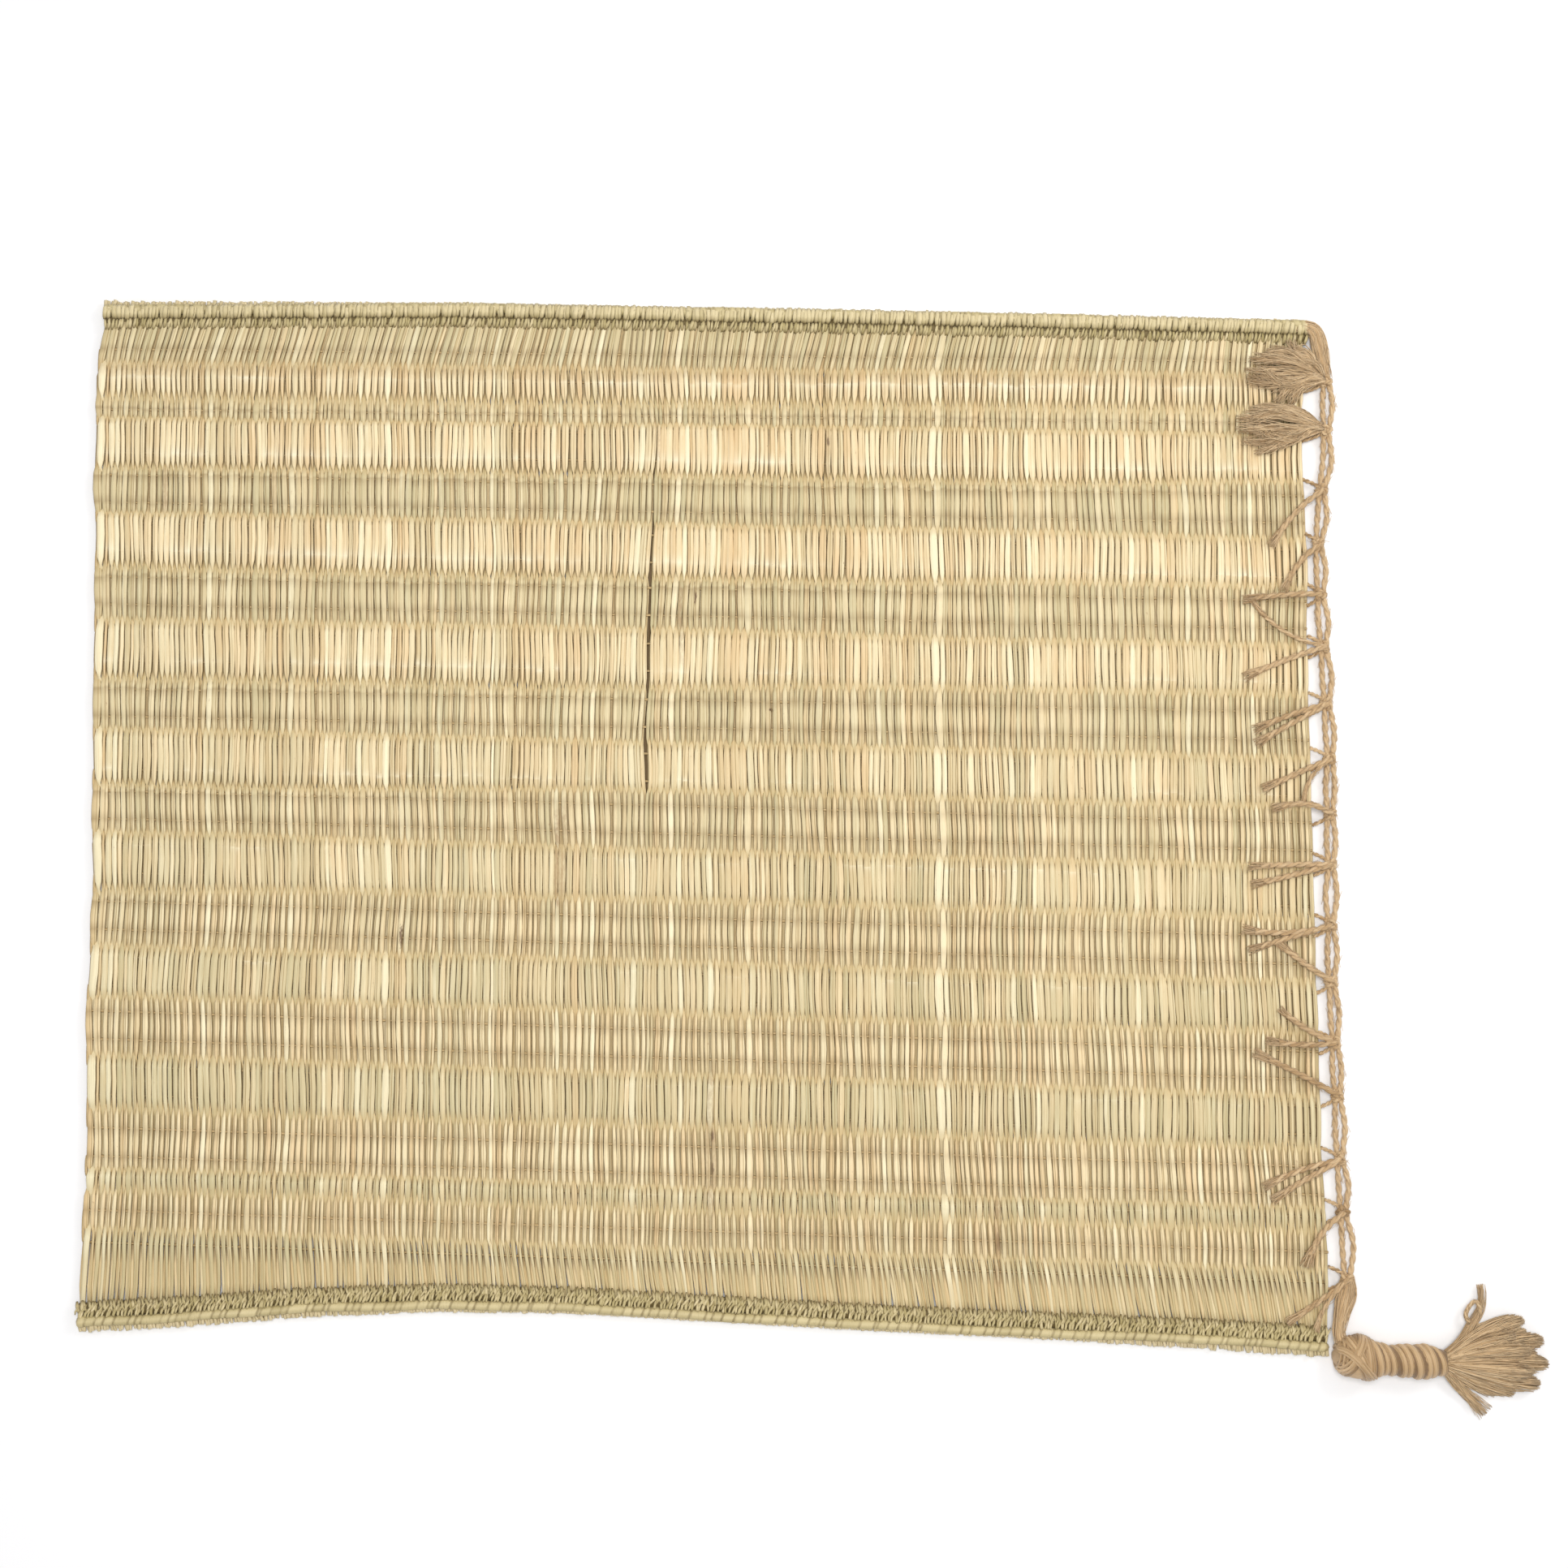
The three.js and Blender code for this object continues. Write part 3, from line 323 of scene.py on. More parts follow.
def ring_faces(rings, sides, starts):
    """Quads between neighbouring rings and a cap on each end, for tubes that begin at these points."""
    ring, side = np.meshgrid(np.arange(rings - 1), np.arange(sides), indexing="ij")
    here = ring * sides + side
    beside = ring * sides + (side + 1) % sides
    quads = np.stack([here, here + sides, beside + sides, beside], axis=-1).reshape(-1, 4)
    quads = (starts[:, None, None] + quads).reshape(-1, 4)
    cap = np.arange(sides)
    last = starts[:, None] + (rings - 1) * sides
    return [quads, np.concatenate([starts[:, None] + cap, last + cap[::-1]])]


def tubes(paths, half_width, half_height, sides, reference=(0, 0, 1), rng=None, **traits):
    """Tubes on paths: each ring is the middle + half width cos a across + half height sin a up,
    with the angles a at even steps, or as listed in sides."""
    paths = np.asarray(paths, float)
    if paths.ndim == 2:
        paths = paths[None]
    count, rings = paths.shape[:2]
    across, up = directions(paths, reference)
    angle = 2 * math.pi * np.arange(sides) / sides if isinstance(sides, int) else sides
    sides = len(angle)
    wide = np.broadcast_to(half_width, (count, rings))[:, :, None, None]
    high = np.broadcast_to(half_height, (count, rings))[:, :, None, None]
    aside = across[:, :, None] * wide * np.cos(angle)[:, None]
    above = up[:, :, None] * high * np.sin(angle)[:, None]
    points = paths[:, :, None] + aside + above

    step = np.linalg.norm(np.diff(paths, axis=1), axis=2)
    along = np.concatenate([np.zeros((count, 1)), np.cumsum(step, axis=1)], axis=1)
    if rng is not None:
        along = along + rng.uniform(0, GRAIN_REACH, (count, 1))
    grain = np.zeros((count, rings, sides, 3))
    grain[..., 0] = along[:, :, None]
    grain[..., 1] = wide[..., 0] * np.cos(angle)
    grain[..., 2] = high[..., 0] * np.sin(angle)

    faces = ring_faces(rings, sides, np.arange(count) * rings * sides)
    batch = {"points": points.reshape(-1, 3), "faces": faces, "grain": grain.reshape(-1, 3)}
    scale = np.broadcast_to(traits.pop("edge", 1.0), (count, rings))
    batch["edge"] = (scale[:, :, None] * np.abs(np.cos(angle))).reshape(-1)
    for name in TRAITS[:-1]:
        value = np.asarray(traits.get(name, 0.0), float)
        if value.ndim == 1:
            value = value[:, None]
        value = np.broadcast_to(value, (count, rings))
        batch[name] = np.repeat(value.reshape(-1), sides)
    return batch


def skin(points, **traits):
    """A closed skin over a grid of rings (rings, sides, 3), with a cap on each end."""
    rings, sides = points.shape[:2]
    flat = points.reshape(-1, 3)
    batch = {"points": flat, "faces": ring_faces(rings, sides, np.zeros(1, int)), "grain": flat.copy()}
    for name in TRAITS:
        value = np.broadcast_to(traits.get(name, 0.0), (rings, sides))
        batch[name] = value.reshape(-1).astype(float)
    return batch


def build(name, batches, material, slot, *nodes):
    """Joins batches of faces into one smooth mesh object, and ties it to the frame."""
    points = np.concatenate([batch["points"] for batch in batches])
    points = (points + SHIFT) * MM
    points[:, 2] = np.maximum(points[:, 2], 0.0)
    starts = np.r_[0, np.cumsum([len(batch["points"]) for batch in batches])]
    groups = [
        faces + start for batch, start in zip(batches, starts) for faces in batch["faces"]
    ]
    corners = np.concatenate([group.reshape(-1) for group in groups])
    sizes = np.concatenate([np.full(len(group), group.shape[1]) for group in groups])

    mesh = bpy.data.meshes.new(name)
    mesh.vertices.add(len(points))
    mesh.vertices.foreach_set("co", points.astype(np.float32).reshape(-1))
    mesh.loops.add(len(corners))
    mesh.loops.foreach_set("vertex_index", corners.astype(np.int32))
    mesh.polygons.add(len(sizes))
    first = np.r_[0, np.cumsum(sizes)[:-1]].astype(np.int32)
    mesh.polygons.foreach_set("loop_start", first)
    mesh.update(calc_edges=True)
    mesh.polygons.foreach_set("use_smooth", np.ones(len(sizes), bool))
    for trait in TRAITS:
        values = np.concatenate([batch[trait] for batch in batches]).astype(np.float32)
        mesh.attributes.new(trait, "FLOAT", "POINT").data.foreach_set("value", values)
    grain = np.concatenate([batch["grain"] for batch in batches]).astype(np.float32) * MM
    layer = mesh.attributes.new("grain", "FLOAT_VECTOR", "POINT")
    layer.data.foreach_set("vector", grain.reshape(-1))
    mesh.materials.append(material)

    piece = bpy.data.objects.new(name, mesh)
    bpy.context.scene.collection.objects.link(piece)
    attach(piece, "root")
    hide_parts(*nodes)
    return piece


def bundle(path, wide, high, count, radius, rng, wiggle=0.3, level=0.0, ragged=0.12, scallop=0.0,
           tint=(0.0, 1.0), **traits):
    """Hairs inside a lock: each keeps its place (u, v) in a disc, scaled by the lock's half width
    across and half height up, with a slow sideways wave, and ends at its own share of the length.
    Hairs at the lock's sides are shorter by the scallop's share, so that its end is round."""
    rings = len(path)
    across, up = directions(path, (0, 0, 1))
    turn = rng.uniform(0, 2 * math.pi, count)
    out = np.sqrt(rng.uniform(0, 1, count))
    u, v = out * np.cos(turn), out * np.sin(turn)
    t = np.linspace(0, 1, rings)
    phase = rng.uniform(0, 2 * math.pi, (count, 1))
    wave = wiggle * t * np.sin(phase + rng.uniform(3, 8, (count, 1)) * t)
    wave = wave + 0.3 * wiggle * np.sin(phase * 3 + rng.uniform(10, 20, (count, 1)) * t)
    aside = u[:, None] * wide + wave
    above = v[:, None] * high + 0.5 * wiggle * t * np.cos(phase * 2 + 5 * t)
    hairs = path + aside[..., None] * across + above[..., None] * up
    share = 1 - ragged * rng.uniform(0, 1, count) ** 2 - scallop * (1 - np.sqrt(1 - u**2))
    place = share[:, None] * np.linspace(0, rings - 1, rings)
    low = np.clip(np.floor(place).astype(int), 0, rings - 2)
    part = (place - low)[..., None]
    each = np.arange(count)[:, None]
    hairs = hairs[each, low] * (1 - part) + hairs[each, low + 1] * part
    hairs[..., 2] = np.maximum(hairs[..., 2], level + radius)
    thickness = radius * (1 - 0.45 * t**3)
    # Painted shade: hairs low in the lock and near its root are darker, those on top and towards the tip
    # paler
    shade = rng.uniform(*tint, (count, 1)) + 0.35 * (v[:, None] * 0.5 + t - 0.6)
    return tubes(hairs, thickness, thickness, 3, rng=rng, tint=np.clip(shade, 0, 1.3), **traits)


def soft_bundle(rows, count, radius, rng, step=2.8, core=0.72, tapered=False, **traits):
    """A loose bundle on rows of x, y, z, half width and half height: a core under its hairs, dark as
    painted shade.
    """
    rows = np.array(rows, float)
    path = smooth_path(rows[:, :3], step)
    run = np.linalg.norm(np.diff(rows[:, :3], axis=0), axis=1)
    at = np.r_[0, np.cumsum(run)] / run.sum()
    t = np.linspace(0, 1, len(path))
    wide, high = np.interp(t, at, rows[:, 3]), np.interp(t, at, rows[:, 4])
    taper = 1 - 0.85 * smoothstep(0.55, 1.0, t) if tapered else 1.0
    inside = tubes(
        path, core * wide * taper, core * high * taper, 8, rng=rng, tint=rng.uniform(0.1, 0.4, 1)
    )
    return [inside, bundle(path, wide, high, count, radius, rng, **traits)]


def fuzz(path, radius, hair, count, rng):
    """Short loose fibres that leave a cord at a slant and bend along it."""
    at = rng.integers(1, len(path) - 2, count)
    ahead = path[at + 1] - path[at - 1]
    ahead /= np.linalg.norm(ahead, axis=1, keepdims=True)
    out = rng.normal(0, 1, (count, 3))
    out[:, 2] = np.abs(out[:, 2])
    out -= (out * ahead).sum(1, keepdims=True) * ahead
    out /= np.linalg.norm(out, axis=1, keepdims=True)
    way = ahead * rng.choice([-1, 1], (count, 1))
    t = np.array([0, 0.33, 0.67, 1.0])[None, :, None]
    length = rng.uniform(1.2, 3.6, (count, 1, 1))
    hairs = path[at][:, None] + out[:, None] * (radius * 0.8 + length * 0.35 * t)
    hairs = hairs + way[:, None] * length * (t * 0.9 + 0.2 * t * t)
    hairs[..., 2] = np.maximum(hairs[..., 2], hair)
    return tubes(hairs, hair * 0.45, hair * 0.45, 3, rng=rng, tint=rng.uniform(0.4, 1, count))


# Sizes and colours that a user would change

def length_property(name, description, default, low, high):
    return FloatProperty(
        name=name, description=description, default=default, min=low, max=high, unit="LENGTH",
        precision=4,
    )


def colour_property(name, description, default):
    return FloatVectorProperty(
        name=name, description=description, default=default, size=3, min=0.0, max=1.0,
        subtype="COLOR",
    )


class MatSizes(PropertyGroup):
    stems: IntProperty(
        name="Stems", description="Stems side by side, both sets together", default=408,
        min=40, max=600,
    )
    twine: length_property("Twine", "Radius of the twine inside the weave", 0.0007, 0.0003, 0.002)
    strand: length_property("Strand", "Radius of one strand of the edge cord", 0.0015, 0.001, 0.003)
    strand_twist: length_property("Strand twist", "Length of one turn of the plies", 0.0105, 0.004, 0.02)
    hair: length_property("Fibre", "Radius of a loose jute fibre", 0.00023, 0.0001, 0.001)
    wrap: length_property("Plait wrap", "Width of one wrap of a plait", 0.0031, 0.002, 0.01)
    camera_height: length_property("Camera distance", "From the camera to the mat", 1.073, 0.5, 3.0)


class MatColours(PropertyGroup):
    cream: colour_property("Cream", "Stem near its root", (0.90, 0.755, 0.475))
    tan: colour_property("Tan", "Weathered stem", (0.77, 0.56, 0.30))
    green: colour_property("Green", "Stem towards its tip", (0.585, 0.505, 0.285))
    # Also the colour of the painted shade just below the first row
    brown: colour_property("Brown", "Stained stem", (0.40, 0.25, 0.12))
    plait: colour_property("Plait", "Plaited tips", (0.45, 0.37, 0.165))
    jute: colour_property("Jute", "Jute twine", (0.67, 0.46, 0.245))
    jute_dark: colour_property("Dark jute", "Jute between its plies", (0.37, 0.225, 0.105))
    floor: colour_property("Floor", "Pale floor", (0.93, 0.93, 0.94))


# Materials

# Colours that only one place uses, in the order in which they are laid on
PALE_STRAW, PALE_STREAK, FOLD_SHADE = (0.98, 0.89, 0.62), (0.95, 0.86, 0.62), (0.34, 0.23, 0.09)
CREST_HIGHLIGHT_COLOUR, STAIN, SLIT_SHADE = (1.0, 0.93, 0.70), (0.13, 0.065, 0.03), (0.045, 0.025, 0.012)
DIVING_SHADE, DEEP_SHADE, STEM_SIDE_SHADE = (0.55, 0.40, 0.175), (0.17, 0.10, 0.035), (0.22, 0.125, 0.035)
PLAIT_DARK, PLAIT_PALE, PLAIT_LINE = (0.36, 0.28, 0.11), (0.72, 0.60, 0.33), (0.20, 0.15, 0.05)
PLAIT_PATCH, PLAIT_FLECK, PLAIT_CROWN_HIGHLIGHT = (0.62, 0.52, 0.27), (0.24, 0.16, 0.06), (0.80, 0.68, 0.42)
PLAIT_SHADE, PLAIT_BED_SHADE, PLAIT_SIDE_SHADE = (0.17, 0.115, 0.04), (0.06, 0.04, 0.014), (0.21, 0.15, 0.05)
PALE_PLY, PALE_FIBRE, DARK_PLY = (0.83, 0.62, 0.375), (0.90, 0.69, 0.43), (0.27, 0.155, 0.065)
WRAP_SIDE_SHADE, WRAP_BROWN, WRAP_GROOVE_SHADE = (0.20, 0.115, 0.045), (0.60, 0.37, 0.16), (0.15, 0.08, 0.03)
WRAP_CREST_HIGHLIGHT = (0.85, 0.60, 0.33)

FIBRE_LIFT = 0.22       # share of the paler colour on all loose fibres
# Share of painted shade at the sides of a wrap's strands
WRAP_SIDE_SHADE_SHARE = 0.8        # share of the dark colour at the sides of a wrap


class Finish:
    """The nodes of one material, added one after another."""

    def __init__(self, name):
        self.material = bpy.data.materials.new(name)
        self.material.use_nodes = True
        self.tree = self.material.node_tree
        self.shader = self.tree.nodes["Principled BSDF"]

    def set(self, node, inputs):
        for key, value in inputs.items():
            if isinstance(value, bpy.types.NodeSocket):
                self.tree.links.new(value, node.inputs[key])
            else:
                node.inputs[key].default_value = value

    def add(self, kind, inputs, output=0, **settings):
        node = self.tree.nodes.new(kind)
        for key, value in settings.items():
            setattr(node, key, value)
        self.set(node, inputs)
        return node.outputs[output]

    def place(self):
        return self.add("ShaderNodeTexCoord", {}, "Object")

    def axis(self, vector, number):
        return self.add("ShaderNodeSeparateXYZ", {0: vector}, number)

    def trait(self, name, output="Fac"):
        return self.add("ShaderNodeAttribute", {}, output, attribute_name=name)

    def maths(self, operation, a, b=0.0):
        return self.add("ShaderNodeMath", {0: a, 1: b}, operation=operation)

    def stretched(self, vector, scale):
        return self.add("ShaderNodeVectorMath", {0: vector, 1: scale}, operation="MULTIPLY")

    def noise(self, vector, scale, detail=2.0, roughness=0.5):
        """Noise with this many waves to a metre along each axis."""
        inputs = {
            "Vector": self.stretched(vector, scale), "Scale": 1.0, "Detail": detail,
            "Roughness": roughness,
        }
        return self.add("ShaderNodeTexNoise", inputs)

    def span(self, value, low, high, to_low=0.0, to_high=1.0):
        return self.add("ShaderNodeMapRange", {0: value, 1: low, 2: high, 3: to_low, 4: to_high})

    def blend(self, share, a, b):
        a, b = [(*c, 1.0) if isinstance(c, tuple) and len(c) == 3 else c for c in (a, b)]
        inputs = {0: share, 6: a, 7: b}
        return self.add("ShaderNodeMix", inputs, 2, data_type="RGBA", blend_type="MIX")

    def layers(self, colour, rows):
        """Lays colours over one another. Each row: value, where its share starts and where it is
        full, that full share, and the colour."""
        for value, low, high, share, over in rows:
            colour = self.blend(self.span(value, low, high, 0.0, share), colour, over)
        return colour

    def finish(self, colour, roughness, height, depth, specular=0.35, sheen=0.0):
        bump = self.add(
            "ShaderNodeBump", {"Strength": 1.0, "Distance": depth, "Height": height}, "Normal"
        )
        self.set(self.shader, {
            "Base Color": colour, "Roughness": roughness, "Normal": bump,
            "Specular IOR Level": specular, "Sheen Weight": sheen,
        })
        return self.material


def grass_material(name, colours):
    """Dried stems: cream to tan to green along each stem, lengthwise streaks, stains and ribs."""
    f = Finish(name)
    cream, tan, tip, stain_and_shade_colour = [
        tuple(colour) for colour in (colours.cream, colours.tan, colours.green, colours.brown)
    ]
    place, grain = f.place(), f.trait("grain", "Vector")
    tint, green, brown = f.trait("tint"), f.trait("green"), f.trait("brown")
    streak = f.noise(grain, (35, 2100, 2100), 3.0, 0.6)
    rib = f.noise(grain, (14, 5200, 5200), 1.0)
    patch = f.noise(place, (55, 22, 20))
    fleck = f.noise(grain, (330, 900, 900), 2.0, 0.65)
    slow = f.noise(grain, (24, 60, 60))
    tone = f.maths("ADD", tint, f.span(slow, 0.3, 0.7, -0.35, 0.35))

    # Painted crease shade along most stems, with its own place across the stem, and painted shading,
    # darker on some stems and paler on others, on the face beyond it
    own = f.maths("FRACT", f.maths("MULTIPLY", tint, 7.31))
    other = f.maths("FRACT", f.maths("MULTIPLY", tint, 17.7))
    aside = f.maths("SUBTRACT", f.axis(grain, 1), f.span(own, 0.0, 1.0, -0.0008, 0.0008))
    shaded_face = f.maths("GREATER_THAN", aside, 0.0)
    tone = f.maths("ADD", tone, f.maths("MULTIPLY", shaded_face, f.span(other, 0.0, 1.0, -0.4, 0.4)))
    fold_shade = f.span(f.maths("ABSOLUTE", aside), 0.00008, 0.0003, 0.8, 0.0)
    fold_shade = f.maths("MULTIPLY", fold_shade, f.span(other, 0.25, 0.6))

    greener = f.maths("ADD", green, f.span(patch, 0.3, 0.7, -0.18, 0.18))
    greener = f.maths("ADD", greener, f.span(streak, 0.3, 0.7, -0.15, 0.15))
    colour = f.layers(cream, [
        (tone, 0.1, 0.95, 1.0, tan), (greener, 0.0, 1.0, 1.0, tip),
        (tone, 0.0, -0.45, 0.55, PALE_STRAW), (streak, 0.52, 0.75, 0.5, tan),
        (streak, 0.42, 0.25, 0.5, PALE_STREAK),
    ])
    # Painted crease shade of the fold
    colour = f.blend(fold_shade, colour, FOLD_SHADE)
    # Painted highlight on the crests of the rows, sharper towards the bottom of the mat
    sharp = f.span(f.axis(place, 1), -0.06, 0.16, 6.0, 2.0)
    colour = f.blend(f.maths("POWER", f.trait("bright"), sharp), colour, CREST_HIGHLIGHT_COLOUR)
    # Stains and brown stems, with the painted shade just below the first row, freckled
    freckled = f.maths("MULTIPLY", brown, f.span(fleck, 0.35, 0.6, 0.25, 1.0))
    colour = f.blend(freckled, colour, stain_and_shade_colour)
    colour = f.layers(colour, [(fleck, 0.70, 0.78, 0.55, stain_and_shade_colour)])
    for x, y, across, along, strength in STAINS:
        middle = tuple(np.array([x, y, 0.0]) * MM + SHIFT * MM)
        away = f.add("ShaderNodeVectorMath", {0: place, 1: middle}, operation="SUBTRACT")
        away = f.stretched(away, (1 / (across * MM), 1 / (along * MM), 0.0))
        away = f.add("ShaderNodeVectorMath", {0: away}, "Value", operation="LENGTH")
        away = f.maths("ADD", away, f.span(fleck, 0.3, 0.7, -0.5, 0.5))
        colour = f.layers(colour, [(away, 1.0, 0.4, strength, STAIN)])

    # Painted shade: the stem in the slit is near black, stems darken as they dive into the weave, with
    # some of the duller colour of covered stems, and along their sides
    height = f.axis(place, 2)
    colour = f.layers(colour, [
        (brown, 1.0, 2.0, 1.0, SLIT_SHADE), (height, 0.0042, 0.0034, 0.42, DIVING_SHADE),
        (height, 0.0031, 0.0016, 0.85, DEEP_SHADE),
    ])
    side = f.span(f.trait("edge"), 0.84, 1.0, 0.0, 0.9)
    side = f.maths("MULTIPLY", side, f.span(other, 0.0, 0.8, 0.45, 1.0))
    colour = f.blend(side, colour, STEM_SIDE_SHADE)
    rough = f.span(streak, 0.3, 0.7, 0.42, 0.62)
    relief = f.maths("ADD", streak, f.maths("MULTIPLY", rib, 0.6))
    return f.finish(colour, rough, relief, 0.00022, specular=0.4, sheen=0.05)


def plait_material(name, colours):
    """Plaited grass: olive wraps, each of its own tint, with fine lines that run round the roll."""
    f = Finish(name)
    place, grain = f.place(), f.trait("grain", "Vector")
    tint, green, brown = f.trait("tint"), f.trait("green"), f.trait("brown")
    line = f.noise(place, (2600, 260, 260), 3.0, 0.6)
    patch = f.noise(place, (40, 40, 40))
    fleck = f.noise(grain, (600, 600, 600))
    colour = f.layers(PLAIT_DARK, [(tint, 0.0, 1.0, 1.0, PLAIT_PALE)])
    colour = f.blend(0.45, colour, tuple(colours.plait))
    colour = f.blend(f.maths("SUBTRACT", 1.0, green), colour, tuple(colours.cream))
    colour = f.layers(colour, [
        (line, 0.55, 0.8, 0.6, PLAIT_LINE), (patch, 0.4, 0.7, 0.3, PLAIT_PATCH),
        (fleck, 0.68, 0.8, 0.5, PLAIT_FLECK),
    ])
    # Painted highlight along the top of the roll and of the knots that cross it
    colour = f.blend(f.trait("bright"), colour, PLAIT_CROWN_HIGHLIGHT)
    # Painted shade in the grooves between wraps, at the roots of the cut ends, at the feet of the knots,
    # on the dark bed and along the sides of each tube
    colour = f.layers(colour, [
        (brown, 0.0, 1.0, 0.8, PLAIT_SHADE), (brown, 1.0, 1.6, 1.0, PLAIT_BED_SHADE),
        (f.trait("edge"), 0.7, 1.0, 0.4, PLAIT_SIDE_SHADE),
    ])
    return f.finish(colour, 0.55, line, 0.0003, specular=0.35, sheen=0.05)


def jute_material(name, colours, lift=0.0, depth=0.0):
    """Jute: fine fibres along each ply, with paler loose ones; depth paints shade on the sides of a ply.
    """
    f = Finish(name)
    jute, dark = tuple(colours.jute), tuple(colours.jute_dark)
    grain, tint = f.trait("grain", "Vector"), f.trait("tint")
    fibre = f.noise(grain, (160, 3200, 3200), 3.0, 0.65)
    slow = f.noise(grain, (70, 500, 500))
    colour = f.layers(dark, [(fibre, 0.25, 0.7, 1.0, jute), (tint, 0.2, 1.3, 0.9, PALE_PLY)])
    colour = f.blend(f.span(fibre, 0.6, 0.8, lift, 0.6), colour, PALE_FIBRE)
    colour = f.layers(colour, [(tint, 0.3, 0.0, 0.55, DARK_PLY), (slow, 0.5, 0.75, 0.4, dark)])
    if not depth:
        return f.finish(colour, 0.8, fibre, 0.0005, specular=0.2, sheen=0.15)
    # Painted shade on the sides of each strand and in the grooves (low tint), painted highlight on the
    # crests (high tint)
    colour = f.layers(colour, [(f.trait("edge"), 0.35, 0.95, depth, WRAP_SIDE_SHADE)])
    colour = f.blend(0.4, colour, WRAP_BROWN)
    colour = f.layers(colour, [
        (tint, 0.5, 0.1, 0.75, WRAP_GROOVE_SHADE), (tint, 0.9, 1.35, 0.45, WRAP_CREST_HIGHLIGHT),
    ])
    return f.finish(colour, 0.44, fibre, 0.0005, specular=0.6, sheen=0.15)


def floor_material(name, colours):
    """A matt pale floor with a very faint unevenness."""
    f = Finish(name)
    soft = f.noise(f.place(), (9, 9, 9), 1.0)
    pale = tuple(colours.floor)
    colour = f.blend(soft, pale, tuple(0.985 * c for c in pale))
    return f.finish(colour, 0.9, soft, 0.00001, specular=0.1)


def ready(name, make, *settings):
    """A material by name, made when it is first asked for."""
    return bpy.data.materials.get(name) or make(name, *settings)


# Stems

def twine_lines():
    """The 34 twines from the top: height at the left and right edge, and the set over each."""
    lines = []
    for over, count, left, right in ROWS:
        for offset in ((STRING_PITCH / 2, -STRING_PITCH / 2) if count == 2 else (0.0,)):
            lines.append((left + offset, right + offset, over))
    return lines


def ring_plan():
    """Where each ring of a stem is: the anchor line above it, the share of the way to the next,
    how far set A is up (-1 to 1), whether it is between two twines of a row, its step before or
    after the crossing of the sets (-1, 0, 1), and the set that comes from above there (1 is A)."""
    up = [1.0 if line[2] == "A" else -1.0 for line in twine_lines()]
    plan = [(0, share, up[0] * stand, 0, 0, 0) for share, stand in FIRST_SECTION]
    for k, stand in enumerate(up):
        plan.append((k + 1, 0.0, stand, 0, 0, 0))
        if k + 1 == len(up):
            break
        if up[k + 1] == stand:
            plan.append((k + 1, 0.5, stand, 1, 0, 0))
        else:
            plan += [(k + 1, 0.5, -0.9 * stand * step, 0, step, stand) for step in (-1, 0, 1)]
    plan += [(len(up), share, up[-1] * stand, 0, 0, 0) for share, stand in LAST_SECTION]
    return [np.array(column, float) for column in zip(*plan)]


def stem_shares(total):
    """Places of the stems as shares of the mat's width: set B fills it with stems of uneven width,
    and each stem of set A lies where two of set B meet."""
    rng = np.random.default_rng(3)
    half = total // 2
    width = np.clip(rng.normal(1, 0.2, half), 0.55, 1.5)
    meet = np.r_[0, np.cumsum(width)] / width.sum()
    meet = 0.002 + 0.996 * meet
    second = (meet[1:] + meet[:-1]) / 2
    first = meet[:-1] + 0.0012 * (np.arange(half) == 0)
    cut = int(np.searchsorted(meet, SLIT_SHARE))
    split = (first[cut - 1] + second[cut - 1]) / 2 + 0.25 / half
    return {"A": first, "B": second}, np.diff(meet), split, cut


def across_grass(share, y):
    """Place at a share of the way from the left outline of the grass to the right one."""
    left, right = read(OUTLINE_LEFT, y), read(OUTLINE_RIGHT, y)
    return left + (right - left) * share


def across_mat(share, y, split):
    """Place of a stem: its share of the way from the left outline to the right one, moved where
    the slit drifts and opens."""
    drift = read(SLIT, y) - across_grass(split, y)
    x = across_grass(share, y) + drift * np.exp(-(((share - split) / DRIFT_REACH) ** 2))
    apart = read(SLIT, y, 2) * np.sign(share - split)
    return x + apart * np.exp(-np.abs(share - split) * MAT_WIDTH / SLIT_REACH)


def line_heights(share, rng):
    """Height on each stem of the upper plait, of every twine and of the lower plait."""
    lines = twine_lines()
    top = read(PLAIT_TOP, read(OUTLINE_LEFT, 240) + TOP_WIDTH * share) + PLAIT_OVERLAP
    bottom = read(PLAIT_BOTTOM, read(OUTLINE_LEFT, -240) + BOTTOM_WIDTH * share) - PLAIT_OVERLAP
    uneven = 0.35 * np.sin(9 * share[:, None] + np.arange(len(lines)))
    heights = np.array([left + (right - left) * share for left, right, _ in lines]).T + uneven
    heights = heights + rng.normal(0, 0.45, heights.shape)
    return np.concatenate([top[:, None], heights, bottom[:, None]], axis=1)


def wander(share, y, rng):
    """Sideways drift: slow sines along the stems, some of each stem's own, some shared with the
    stems beside it."""
    count = (len(share), 1)
    drift = rng.normal(0, 0.05, count)
    for waves in (2.0, 5.0, 11.0):
        phase = rng.uniform(0, 2 * math.pi, count)
        turn = waves * 2 * math.pi * y / MAT_LENGTH
        drift = drift + 0.055 * np.sin(phase + turn)
        drift = drift + 0.22 * np.sin(5 * np.sin(1.9 * waves * share[:, None]) + turn)
    return drift


